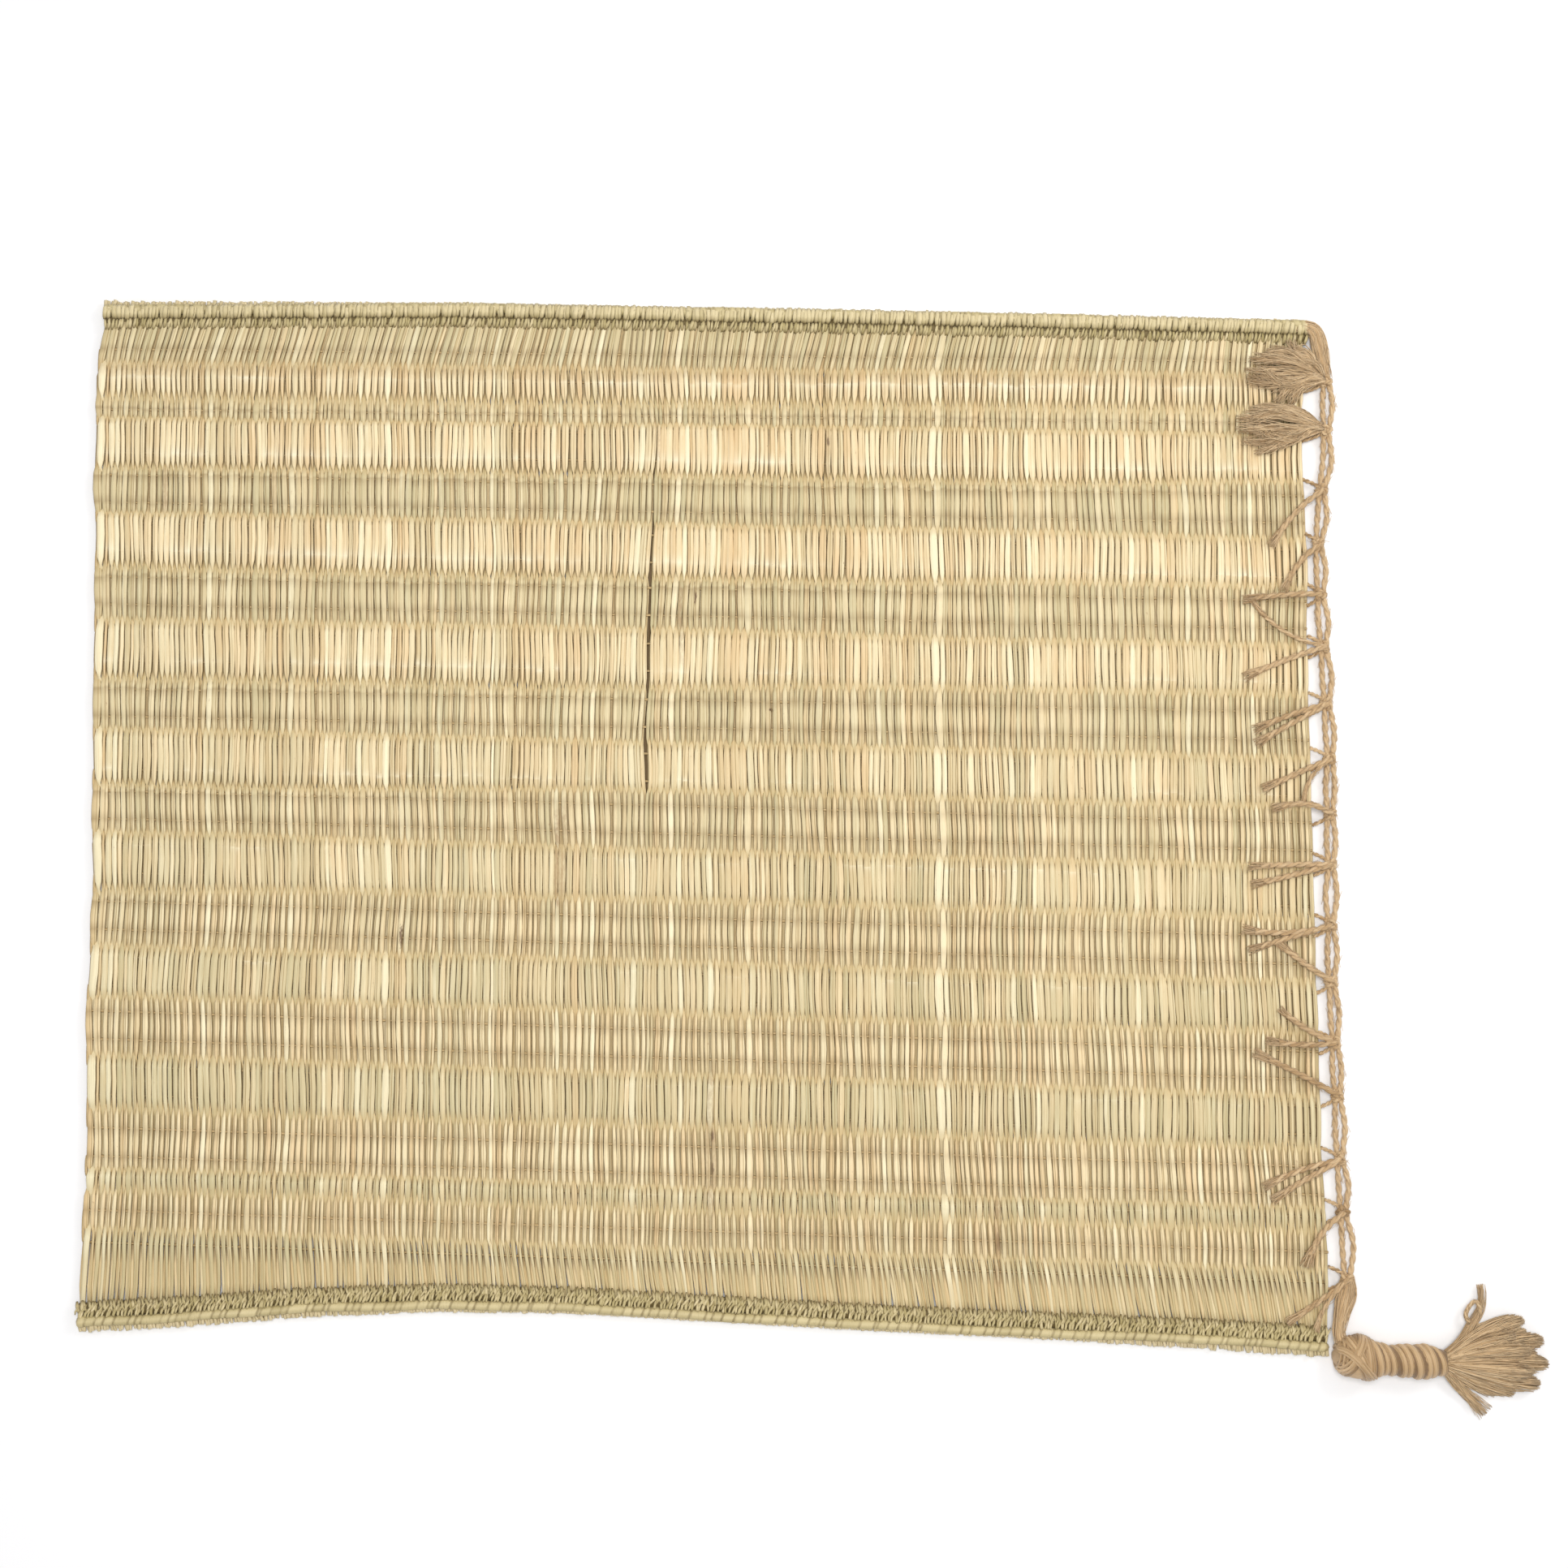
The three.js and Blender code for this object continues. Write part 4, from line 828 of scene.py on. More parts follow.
def stem_paths(kind, share, width, split, rng):
    """Middles, half widths, half heights and traits of the stems of one set."""
    anchor, part, stand, between, step, change = ring_plan()
    count = (len(share), 1)
    heights = line_heights(share, rng)
    at = anchor.astype(int)
    following = np.minimum(at + 1, heights.shape[1] - 1)
    # Going down, set B ends in points over set A in the upper left, and set A over B elsewhere
    switch = SWITCH + SWITCH_SLOPE * TOP_WIDTH * share[:, None]
    pointed = smoothstep(-SWITCH_REACH, SWITCH_REACH, heights[:, at] - switch)
    crossing = np.where(change > 0, 0.70 - 0.08 * pointed, 0.32 + 0.28 * pointed)
    part = np.where(change != 0, crossing + CROSSING_STEP * step, part)
    near = np.where(change != 0, 1 - 0.7 * np.abs(step), 0)
    pinch = np.where(change > 0, PINCH[kind][0], PINCH[kind][0] + PINCH[kind][1] * pointed)
    y = heights[:, at] * (1 - part) + heights[:, following] * part

    x = across_mat(share[:, None], y, split) + wander(share, y, rng)
    first = (heights[:, 1:2] + heights[:, 2:3]) / 2
    last = (heights[:, -2:-1] + heights[:, -3:-2]) / 2
    above = np.clip((y - first) / (heights[:, :1] - first), 0, 1)
    below = np.clip((last - y) / (last - heights[:, -1:]), 0, 1)
    x = x + read(LEAN_TOP, x) * above + read(LEAN_BOTTOM, x) * below
    gather = GATHER if kind == "A" else -GATHER
    x = x + (gather + rng.normal(0, 0.3, count)) * (above**3 + below**3)

    up = (stand if kind == "A" else -stand) * 0.5 + 0.5
    (low, thin), (top, thick) = UNDER[kind], OVER[kind]
    z = low + (top - low) * up
    z = z + BOW[kind] * between * (up > 0.5)
    z = z + rng.normal(0, 0.12, count) * up
    high = np.broadcast_to(thin + (thick - thin) * up, y.shape)
    z = np.maximum(z, high + 0.02)

    wide = read(HALF_WIDTH[kind], y) * (1 - pinch * near)
    own = width[:, None] * np.clip(rng.normal(0.97, 0.07, count), 0.8, 1.06)
    gathered = 1 - 0.16 * above**2 - 0.34 * smoothstep(0.0, 0.4, below) - 0.06 * below**2
    wide = wide * own * gathered
    wide = wide * (1 - 0.14 * (share[:, None] > RIGHT_STEMS) * up)
    on_twine = (part == 0) & (up > 0.9)
    wide = wide * (1 - 0.07 * on_twine)
    phase = rng.uniform(0, 2 * math.pi, count)
    wide = wide * (1 + 0.06 * np.sin(phase + 2 * math.pi * y / 57))
    traits = stem_traits(kind, x, y, stand, up, first, rng)
    # Wider painted side shade where a stem lies on a twine, so the gaps there are darker
    traits["edge"] = 1 + (0.16 if kind == "A" else 0.05) * on_twine
    return np.stack([x, y, z], axis=-1), wide, high, traits


def stem_traits(kind, x, y, stand, up, first, rng):
    """Greenness, brownness with painted shade, painted highlight and tint on each ring of each stem."""
    count = (len(y), 1)
    green = read(GREEN[kind], y) + rng.normal(0, 0.2, count)
    brown = 0.05 * (rng.uniform(0, 1, y.shape) < 0.02) + 0.0 * y
    for place, low, top, strength in ODD_STEMS:
        inside = smoothstep(low - 4, low + 4, y) * (1 - smoothstep(top - 4, top + 4, y))
        brown = brown + strength * np.exp(-(((x - place) / 1.3) ** 2)) * inside
    # Painted shade, with some browner tips, just below the first row, where the stems come out from
    # under the row above
    shade = np.exp(-(((y - (first - 3.0)) / 3.0) ** 2))
    brown = brown + 0.5 * shade * rng.uniform(0.4, 1.2, count)
    # Painted highlight on the crest where a stem bends down over the outer twine of its row, on the side
    # towards the middle
    next_stand = np.where(y > 0, np.roll(stand, -1), np.roll(stand, 1))
    crest = (np.abs(stand) > 0.99) & (np.abs(next_stand - stand) > 0.01) & (up > 0.9)
    patchy = 0.5 + 0.5 * np.sin(x / 17 + 3 * np.sin(x / 41) + np.arange(y.shape[1]))
    crest_highlight = CREST_HIGHLIGHT_STRENGTH[kind] * (0.45 + 0.55 * patchy)
    bright = crest * crest_highlight * rng.uniform(0.6, 1.15, y.shape)
    tint = rng.beta(1.5, 2.0, count)
    tint = np.where(rng.uniform(0, 1, count) < PALE_STEMS, -0.5, tint) + 0.0 * y
    return {"green": green, "brown": brown, "bright": bright, "tint": tint}


def make_stems(context, kind, side):
    """One set of stems on one side of the slit: flattened tubes that go over and under the twine."""
    sizes, colours = context.scene.mat_sizes, context.scene.mat_colours
    shares, width, split, cut = stem_shares(sizes.stems)
    if kind == "B":
        cut = cut - 1
    else:
        width = np.r_[width[0], (width[1:] + width[:-1]) / 2]
    part = slice(0, cut) if side == "left" else slice(cut, None)
    rng = np.random.default_rng(STEM_SEEDS[kind, side])
    width = width[part] * len(width) * 1.02
    paths, wide, high, traits = stem_paths(kind, shares[kind][part], width, split, rng)
    batch = tubes(paths, wide, high, STEM_SIDES, rng=rng, **traits)
    material = ready("dried_grass", grass_material, colours)
    piece = build(f"stems_{kind}_{side}".lower(), [batch], material, "grass", "grass_field")
    return piece


class MAT_OT_stems(Operator):
    """Weave both sets of stems, left and right of the slit"""

    bl_idname = "mat.stems"
    bl_label = "Stems"

    def execute(self, context):
        for kind in "AB":
            for side in ("left", "right"):
                make_stems(context, kind, side)
        return {"FINISHED"}


class MAT_OT_slit_shade_stem(Operator):
    """Lay a near-black stem at the bottom of the slit, as painted shade there"""

    bl_idname = "mat.shrivelled_stem"
    bl_label = "Shadow stem in the slit"

    def execute(self, context):
        rng = np.random.default_rng(7)
        y = np.linspace(178, 6, 60)
        path = np.stack([read(SLIT, y) + 0.25 * np.sin(y / 7), y, np.full(60, 0.5)], 1)
        wide = 0.9 + read(SLIT, y, 2)
        # Near-black painted shade
        batch = tubes(path, wide, 0.42, 6, rng=rng, brown=2.0, tint=1.0)
        material = ready("dried_grass", grass_material, context.scene.mat_colours)
        build("shrivelled_stem", [batch], material, "grass", "grass_field")
        return {"FINISHED"}


class MAT_OT_twine(Operator):
    """Lay the twine between the two sets, turned round the outermost stem on the left"""

    bl_idname = "mat.twine"
    bl_label = "Twine inside the weave"

    def execute(self, context):
        sizes, colours = context.scene.mat_sizes, context.scene.mat_colours
        rng = np.random.default_rng(5)
        lines = twine_lines()
        radius = sizes.twine / MM
        share = np.linspace(0.997, 0.002, 48)
        batches = []
        for pair in zip(lines[::2], lines[1::2]):
            run = []
            for (left, right, over), way in zip(pair, (1, -1)):
                y = (left + (right - left) * share)[::way]
                x = across_grass(share[::way], y)
                run.append(np.stack([x, y, np.full(len(y), TWINE_LEVEL[over])], 1))
            around = np.linspace(math.pi / 2, 3 * math.pi / 2, 9)[1:-1]
            middle = (run[0][-1] + run[1][0]) / 2
            half = np.linalg.norm(run[0][-1] - run[1][0]) / 2
            turn = middle + np.stack([0.5 * np.cos(around), half * np.sin(around), 0 * around], 1)
            path = np.concatenate([run[0], turn, run[1]])
            batches.append(tubes(path, radius, radius, 4, rng=rng, tint=0.9, brown=0.15))
        material = ready("dried_grass", grass_material, colours)
        build("twine_inside", batches, material, "grass", "grass_field")
        return {"FINISHED"}


# Plaits

# Roll of a plait: distance between rings, sides, half width, half height, middle beyond the edge of
# the grass, and its height
ROLL_STEP, ROLL_SIDES = 0.7, 12
ROLL_WIDE, ROLL_HIGH, ROLL_OUT, ROLL_LEVEL = 2.45, 2.6, 7.9, 3.1
# Bed under the knots, a dark tube of painted shade: half width, half height, middle beyond the edge of
# the grass, and its height
BED_WIDE, BED_HIGH, BED_OUT, BED_LEVEL = 3.6, 2.0, 2.6, 1.9

# Courses of small knots: half width, half height, pitch, tint, paleness (painted highlight where a
# knot crosses the roll's top), then how far along, outward and up each point of a knot is
LOWER = (0.74, 0.42, 1.75, 0.3, 0.0, [
    (-0.6, -1.9, 3.6), (-0.3, -0.6, 4.3), (0.0, 0.7, 4.6), (0.2, 2.0, 4.5), (0.4, 3.3, 4.1),
])
OVER_ROLL = (1.2, 0.34, 1.85, 0.62, 0.7, [
    (-0.4, 2.9, 3.9), (-0.2, 4.2, 4.8), (0.0, 5.9, 5.45), (0.2, 8.1, 5.8), (0.4, 10.4, 3.9),
])
BESIDE_ROLL = (0.66, 0.5, 1.75, 0.45, 0.0, [
    (0.8, 1.6, 3.7), (0.3, 2.8, 4.5), (0.0, 4.0, 4.9), (-0.3, 5.2, 5.1), (-0.5, 6.2, 4.7),
])
CROSSED = (0.55, 0.5, 2.6, 0.5, 0.0, [
    (1.5, -0.6, 3.9), (0.8, 0.6, 4.7), (0.0, 1.8, 5.0), (-0.8, 3.0, 4.8), (-1.4, 4.2, 4.2),
])

# Cut ends: how far outward they are, how far up, and their share of the reach beyond the roll
STUB_STEPS = ((7.8, 0.5, 0.0), (9.8, 0.3, 0.2), (10.1, 0.0, 1.0))
# Reach of the cut ends beyond the roll: place along the plait, reach
TOP_STUBS = [(-301, 2.6), (-215, 2.0), (-150, 1.0), (0, 0.4), (200, 0.4), (302, 0.8)]
BOTTOM_STUBS = [
    (-303, 3.0), (-230, 2.8), (-130, 1.8), (-60, 0.8), (150, 1.0), (220, 2.4), (275, 3.4),
    (303, 3.0),
]


def plait_roll(rows, outward, pitch, rng):
    """A roll whose radius rises with the square root of the distance from each slanting groove
    between two wraps, and which is round at both ends."""
    first, last = rows[0][0], rows[-1][0]
    wraps = int((last - first) / pitch)
    edges = np.linspace(first, last, wraps + 1) + rng.normal(0, 0.3 * pitch, wraps + 1)
    edges = np.sort(edges)
    depth = rng.uniform(0.35, 1.0, wraps + 2)
    tone = np.clip(rng.normal(0.6, 0.2, wraps + 2), 0, 1)

    x = np.linspace(first, last, int((last - first) / ROLL_STEP))
    around = 2 * math.pi * np.arange(ROLL_SIDES) / ROLL_SIDES
    grid_x, grid_a = np.meshgrid(x, around, indexing="ij")
    leaning = grid_x + 0.45 * np.cos(grid_a) + 0.3 * np.sin(2 * grid_a)
    number = np.clip(np.searchsorted(edges, leaning), 0, wraps + 1)
    low = edges[np.clip(number - 1, 0, wraps)]
    span = np.maximum(edges[np.clip(number, 0, wraps)] - low, 0.8)
    within = np.clip((leaning - low) / span, 0, 1)
    away = np.minimum(within, 1 - within) * span
    relief = 0.55 * depth[number] * (np.sqrt(np.clip(away / 1.1, 0, 1)) - 0.7)
    slow = 0.25 * np.sin(grid_x / 9) + 0.2 * np.sin(grid_x / 23 + 1)
    inset = np.minimum(grid_x - first, last - grid_x)
    round_end = np.sqrt(np.clip(1 - (1 - np.clip(inset / 2.4, 0.0, 1)) ** 2, 0.03, 1))
    knob = 1 + 0.3 * np.exp(-(((grid_x - first) / 5) ** 2))
    across = (ROLL_WIDE + relief) * round_end * knob
    upward = (ROLL_HIGH + 0.4 * slow + relief) * round_end * knob
    middle = read(rows, grid_x) + outward * (ROLL_OUT + slow)
    points = np.stack([
        grid_x, middle + outward * across * np.cos(grid_a), ROLL_LEVEL + upward * np.sin(grid_a),
    ], axis=-1)
    # Painted shade in the grooves between wraps, painted highlight along the crown
    groove_shade = (1 - smoothstep(0.2, 0.85, away)) * depth[number]
    crown_highlight = np.clip(np.sin(grid_a), 0, 1) ** 6 * (0.4 + 0.6 * depth[number])
    if outward > 0:
        points, number, groove_shade, crown_highlight = [grid[:, ::-1] for grid in (points, number, groove_shade, crown_highlight)]
    return skin(points, tint=tone[number], green=1.0, brown=groove_shade, bright=0.5 * crown_highlight)


def knot_course(rows, outward, course, rng):
    """One course of small knots side by side: short tubes, thickest in the middle, that cross the
    plait at a slant."""
    half, high, pitch, tone, pale, points = course
    first, last = rows[0][0], rows[-1][0]
    knots = int((last - first) / pitch)
    place = np.linspace(first + 1.5, last - 1.5, knots) + rng.normal(0, 0.35, knots)
    inner = read(rows, place)
    paths = np.array([
        np.stack([place + along, inner + outward * out, np.full(knots, z)], 1)
        for along, out, z in points
    ]).transpose(1, 0, 2)
    paths[:, :, 0] += rng.normal(0, 0.3, knots)[:, None] * np.linspace(-1, 1, len(points))
    paths = paths + rng.normal(0, 0.2, (knots, 1, 3)) + rng.normal(0, 0.1, paths.shape)
    width = half * rng.uniform(0.75, 1.3, (knots, 1)) * np.array([0.6, 1.0, 1.1, 1.0, 0.7])
    # Painted shade at the foot of each knot and where it dips again, painted highlight where it crosses
    # the roll's top
    return tubes(
        paths, width, high, 5, rng=rng, tint=np.clip(rng.normal(tone, 0.25, knots), 0, 1),
        green=np.clip(rng.normal(0.85, 0.15, knots), 0.3, 1),
        brown=np.array([1.1, 0.35, 0.0, 0.0, 0.3 - 0.5 * pale])[None],
        bright=pale * rng.uniform(0.5, 1.2, (knots, 1)) * np.array([0.0, 0.15, 0.7, 1.0, 0.8]),
    )


def cut_ends(rows, outward, stubs, rng):
    """The cut ends of the stems, which stick out from under the roll."""
    first, last = rows[0][0], rows[-1][0]
    count = int((last - first) / 1.4)
    place = np.linspace(first + 1.0, last - 1.0, count) + rng.normal(0, 0.25, count)
    inner = read(rows, place)
    length = read(stubs, place) * rng.uniform(0.65, 1.1, count)
    lean = rng.normal(0.15, 0.16, count)
    level = rng.uniform(1.4, 3.2, count)
    path = np.stack([
        np.stack([place + lean * length * k, inner + outward * (out + length * k), level + up], 1)
        for out, up, k in STUB_STEPS
    ], 1)
    width = rng.uniform(0.7, 1.1, (count, 1))
    # Painted shade at the root of each cut end, under the roll
    return tubes(
        path, width, width * 0.8, 5, rng=rng, tint=rng.uniform(0.2, 1, count),
        green=rng.uniform(0.0, 0.35, count), brown=np.array([0.8, 0.35, 0.0])[None],
    )


def make_plait(context, name, rows, outward, pitch, courses, stubs, node, rng):
    """A rolled and plaited end: a wrapped roll, courses of small crossing knots on its inner side
    over a shaded bed, and the cut ends of the stems on its outer side."""
    batches = [plait_roll(rows, outward, pitch, rng)]
    line = np.linspace(rows[0][0] + 1, rows[-1][0] - 1, 150)
    # The bed is a dark tube of painted shade under the knots
    shade_bed = np.stack([line, read(rows, line) + outward * BED_OUT, np.full(150, BED_LEVEL)], 1)
    batches.append(tubes(shade_bed, BED_WIDE, BED_HIGH, 8, rng=rng, tint=0.0, green=1.0, brown=1.15))
    batches += [knot_course(rows, outward, course, rng) for course in courses]
    batches.append(cut_ends(rows, outward, stubs, rng))
    material = ready("plaited_grass", plait_material, context.scene.mat_colours)
    return build(name, batches, material, "selvedge", node)


class MAT_OT_plaits(Operator):
    """Roll and plait the ends of the stems at the top and the bottom edge"""

    bl_idname = "mat.plaits"
    bl_label = "Plaited ends"

    def execute(self, context):
        rng = np.random.default_rng(31)
        pitch = context.scene.mat_sizes.wrap / MM
        make_plait(
            context, "plait_top", PLAIT_TOP, 1, pitch, (LOWER, OVER_ROLL), TOP_STUBS,
            "selvedge_top", rng,
        )
        make_plait(
            context, "plait_bottom", PLAIT_BOTTOM, -1, 1.6 * pitch, (LOWER, CROSSED, BESIDE_ROLL),
            BOTTOM_STUBS, "selvedge_bottom", rng,
        )
        return {"FINISHED"}


# Edge cord

# Middle of a strand at a knot and between two knots, and the distance between its rings
STRAND_AT_KNOT, STRAND_BETWEEN, CORD_STEP = 2.8, 2.0, 1.1
# Small knots: half width, half length, rise and height of the middle
KNOT_WIDE, KNOT_LONG, KNOT_RISE, KNOT_LEVEL = 2.3, 2.7, 1.35, 3.6
# Level of the plait's top, and of a tail where it leaves its knot
PLAIT_LEVEL, TAIL_ROOT = 6.3, 5.4


def two_ply(path, lay, ply, pitch, sides, rng, tint, start=0.0):
    """Twine of two plies laid round the path, each with a tint drawn between two values."""
    plies = twist(path, 2, lay, pitch, start=start)
    return tubes(plies, ply, ply, sides, rng=rng, tint=rng.uniform(*tint, 2))


def strand_path(side):
    """One strand of the edge cord, from the first knot to the last one."""
    points = []
    for k, (y, x, inner, outer) in enumerate(KNOTS):
        points.append((x + side * STRAND_OFFSET, y, STRAND_AT_KNOT))
        if k + 1 < len(KNOTS):
            half_way = (y + KNOTS[k + 1][0]) / 2
            points.append((inner if side < 0 else outer, half_way, STRAND_BETWEEN))
    return smooth_path(points, CORD_STEP)


def knot_path(x, y, flip, rng):
    """An overhand knot: (sin t + 2 sin 2t, cos t - 2 cos 2t, -sin 3t), scaled and turned."""
    t = np.linspace(0, 2 * math.pi, 42)
    a = (np.sin(t) + 2 * np.sin(2 * t)) / 3 * KNOT_WIDE * flip
    b = (np.cos(t) - 2 * np.cos(2 * t)) / 3 * KNOT_LONG
    c = -np.sin(3 * t) * KNOT_RISE + KNOT_LEVEL
    turn = rng.uniform(0, 2 * math.pi)
    return np.stack([
        x - 0.5 + a * math.cos(turn) - b * math.sin(turn),
        y + a * math.sin(turn) + b * math.cos(turn), c,
    ], 1)


def tail_level(x, y):
    """What a tail lies on: the face of the weave, or the plait near the bottom edge."""
    return np.where(y < read(PLAIT_BOTTOM, x) + 2, PLAIT_LEVEL, FACE_HEIGHT)


class MAT_OT_edge_cord(Operator):
    """Knot the twines into the two-strand edge cord, and lay its frayed tails on the grass"""

    bl_idname = "mat.edge_cord"
    bl_label = "Edge cord, knots and tails"

    def execute(self, context):
        sizes, colours = context.scene.mat_sizes, context.scene.mat_colours
        rng = np.random.default_rng(47)
        radius, pitch, hair = sizes.strand / MM, sizes.strand_twist / MM, sizes.hair / MM
        ply = 0.62 * radius
        batches = []
        for side in (-1, 1):
            path = strand_path(side)
            batches.append(two_ply(path, radius - ply, ply, pitch, 6, rng, (0.3, 0.9), start=side))
            batches.append(fuzz(path, radius, hair, 330, rng))
        soft = {"wiggle": 0.9, "ragged": 0.25, "core": 0.86}
        batches += soft_bundle(CORNER_BUNDLE, 110, hair, rng, tint=(0.5, 1.3), **soft)
        batches += soft_bundle(END_BUNDLE, 120, hair, rng, tint=(0.4, 1.2), **soft)
        for y, x, _, _ in KNOTS:
            path = knot_path(x, y, rng.choice([-1, 1]), rng)
            batches.append(two_ply(path, 0.62, 0.78, 5.0, 6, rng, (0, 1)))
            batches.append(fuzz(path, 1.6, hair, 16, rng))
            batches += [self.leg(x, y, way, rng) for way in (-1, 1)]
        for tail in TAILS:
            batches += self.tail(tail, hair, rng)
        material = ready("jute_twine", jute_material, colours)
        build("knotted_cord", batches, material, "jute", "edge_cord")
        return {"FINISHED"}

    def leg(self, x, y, way, rng):
        """Twine from the weave into a knot, from below it (-1) or above it (1)."""
        foot = y + way * 5.5
        edge = float(read(OUTLINE_RIGHT, foot)) - 1.5
        run = [(x - 0.5, y + way, 3.2), ((x + edge) / 2, y + way * 3.6, 2.6), (edge, foot, 2.7)]
        return two_ply(smooth_path(run, 0.9), 0.5, 0.6, 5.0, 5, rng, (0, 1))

    def tail(self, tail, hair, rng):
        """Two plies side by side that lie on the face of the weave and fray at the tip."""
        knot, length, heading, turn, tip, lift = tail
        y, x = KNOTS[knot - 1][:2]
        points = bend((x, y), length, heading, turn, 4)
        thick = 1.55 if tip >= 2 else 1.1
        rest = tail_level(points[:, 0], points[:, 1]) + thick - 0.1
        rest += lift * np.sin(math.pi * np.minimum(1, np.arange(5) / 3))
        rest[0] = TAIL_ROOT
        points[:, 2] = rest
        path = smooth_path(points, CORD_STEP)
        cut = int(len(path) * 0.84)
        ply = 0.58 * thick
        start = rng.uniform(0, 6)
        parts = [two_ply(path[:cut], thick - ply, ply, 9.5, 6, rng, (0.2, 1), start=start)]
        end = path[cut - 5:]
        end = end[:: max(1, len(end) // 6)]
        t = np.linspace(0, 1, len(end))
        wide, high = thick * 0.8 + (tip - thick * 0.8) * t, thick * 0.7 * (1 - 0.4 * t)
        level = float(rest[-1] - thick)
        parts.append(bundle(
            end, wide, high, 34, 1.15 * hair, rng, wiggle=0.3, level=level, ragged=0.35
        ))
        parts.append(fuzz(path[:cut], thick, hair, 24, rng))
        return parts


def heading_to(root, tip):
    """The way in plan from root to tip, and the unit vector to its left."""
    way = np.subtract(tip, root)
    return way, np.array([-way[1], way[0]]) / np.linalg.norm(way)


class MAT_OT_tassels(Operator):
    """Fan the frayed tails of the first two knots over the grass"""

    bl_idname = "mat.tassels"
    bl_label = "Frayed tassels"

    def execute(self, context):
        sizes, colours = context.scene.mat_sizes, context.scene.mat_colours
        rng = np.random.default_rng(59)
        hair = sizes.hair / MM
        material = ready("jute_fibre", jute_material, colours, FIBRE_LIFT)
        for node, locks in TASSELS.items():
            batches = []
            for lock in locks:
                batches += self.lock(lock, hair, rng)
            build("frayed_" + node, batches, material, "jute", node)
        return {"FINISHED"}

    def lock(self, lock, hair, rng):
        """One lock that rises from its knot, bows sideways and spreads towards its tip."""
        x, y, tip_x, tip_y, bow, wide, level = lock
        t = np.linspace(0, 1, 6)
        way, aside = heading_to((x, y), (tip_x, tip_y))
        curve = bow * (np.sin(math.pi * t) + 0.5 * np.sin(2 * math.pi * t + bow))
        points = np.zeros((6, 3))
        points[:, :2] = (x, y) + t[:, None] * way + curve[:, None] * aside
        points[:, 2] = FACE_HEIGHT + 0.9 + level + (1.4 - 0.3 * level) * np.sin(math.pi * t)
        points[0, 2] = 4.4
        path = smooth_path(points, 3.6)
        t = np.linspace(0, 1, len(path))
        spread = wide * (0.32 + 0.68 * smoothstep(0.1, 0.8, t))
        high = 0.7 + 0.9 * np.sin(math.pi * t)
        core = spread * (0.8 - 0.76 * t)
        # Dark core of the lock: painted shade under its hairs
        inside = tubes(path, core, high * 0.45, 6, rng=rng, tint=rng.uniform(0, 0.2, 1))
        return [inside, bundle(
            path, spread, high, 60, 1.3 * hair, rng, wiggle=1.5, level=FACE_HEIGHT - 0.1,
            ragged=0.5, scallop=0.15, tint=(-0.15, 1.9),
        )]


# Corner knot and brush

# The core of the knot lies under the bands up to the first place, under the wraps from the second
BANDS_END, WRAPS_START = 318.0, 322.0
# Strands of a wrap: how many on each side of the middle one, distance, half width
WRAP_SIDE_STRANDS, WRAP_STRAND_STEP, WRAP_STRAND_HALF = 2, 0.72, 0.58

# Bands over the round part: place, tilt in plan, half length, strands, strand radius, lift
BANDS = [
    (307.8, 8, 5.6, 3, 0.8, 0.0), (319.0, -6, 8.6, 5, 0.8, 0.0), (311.6, 33, 8.6, 5, 0.9, 0.7),
    (315.4, -30, 9.0, 5, 0.9, 0.2), (313.0, -56, 6.4, 3, 0.9, 1.3),
]


def knot_half(x):
    """Half width of the wrapped knot at a place along it."""
    return read(CORNER_KNOT, x)


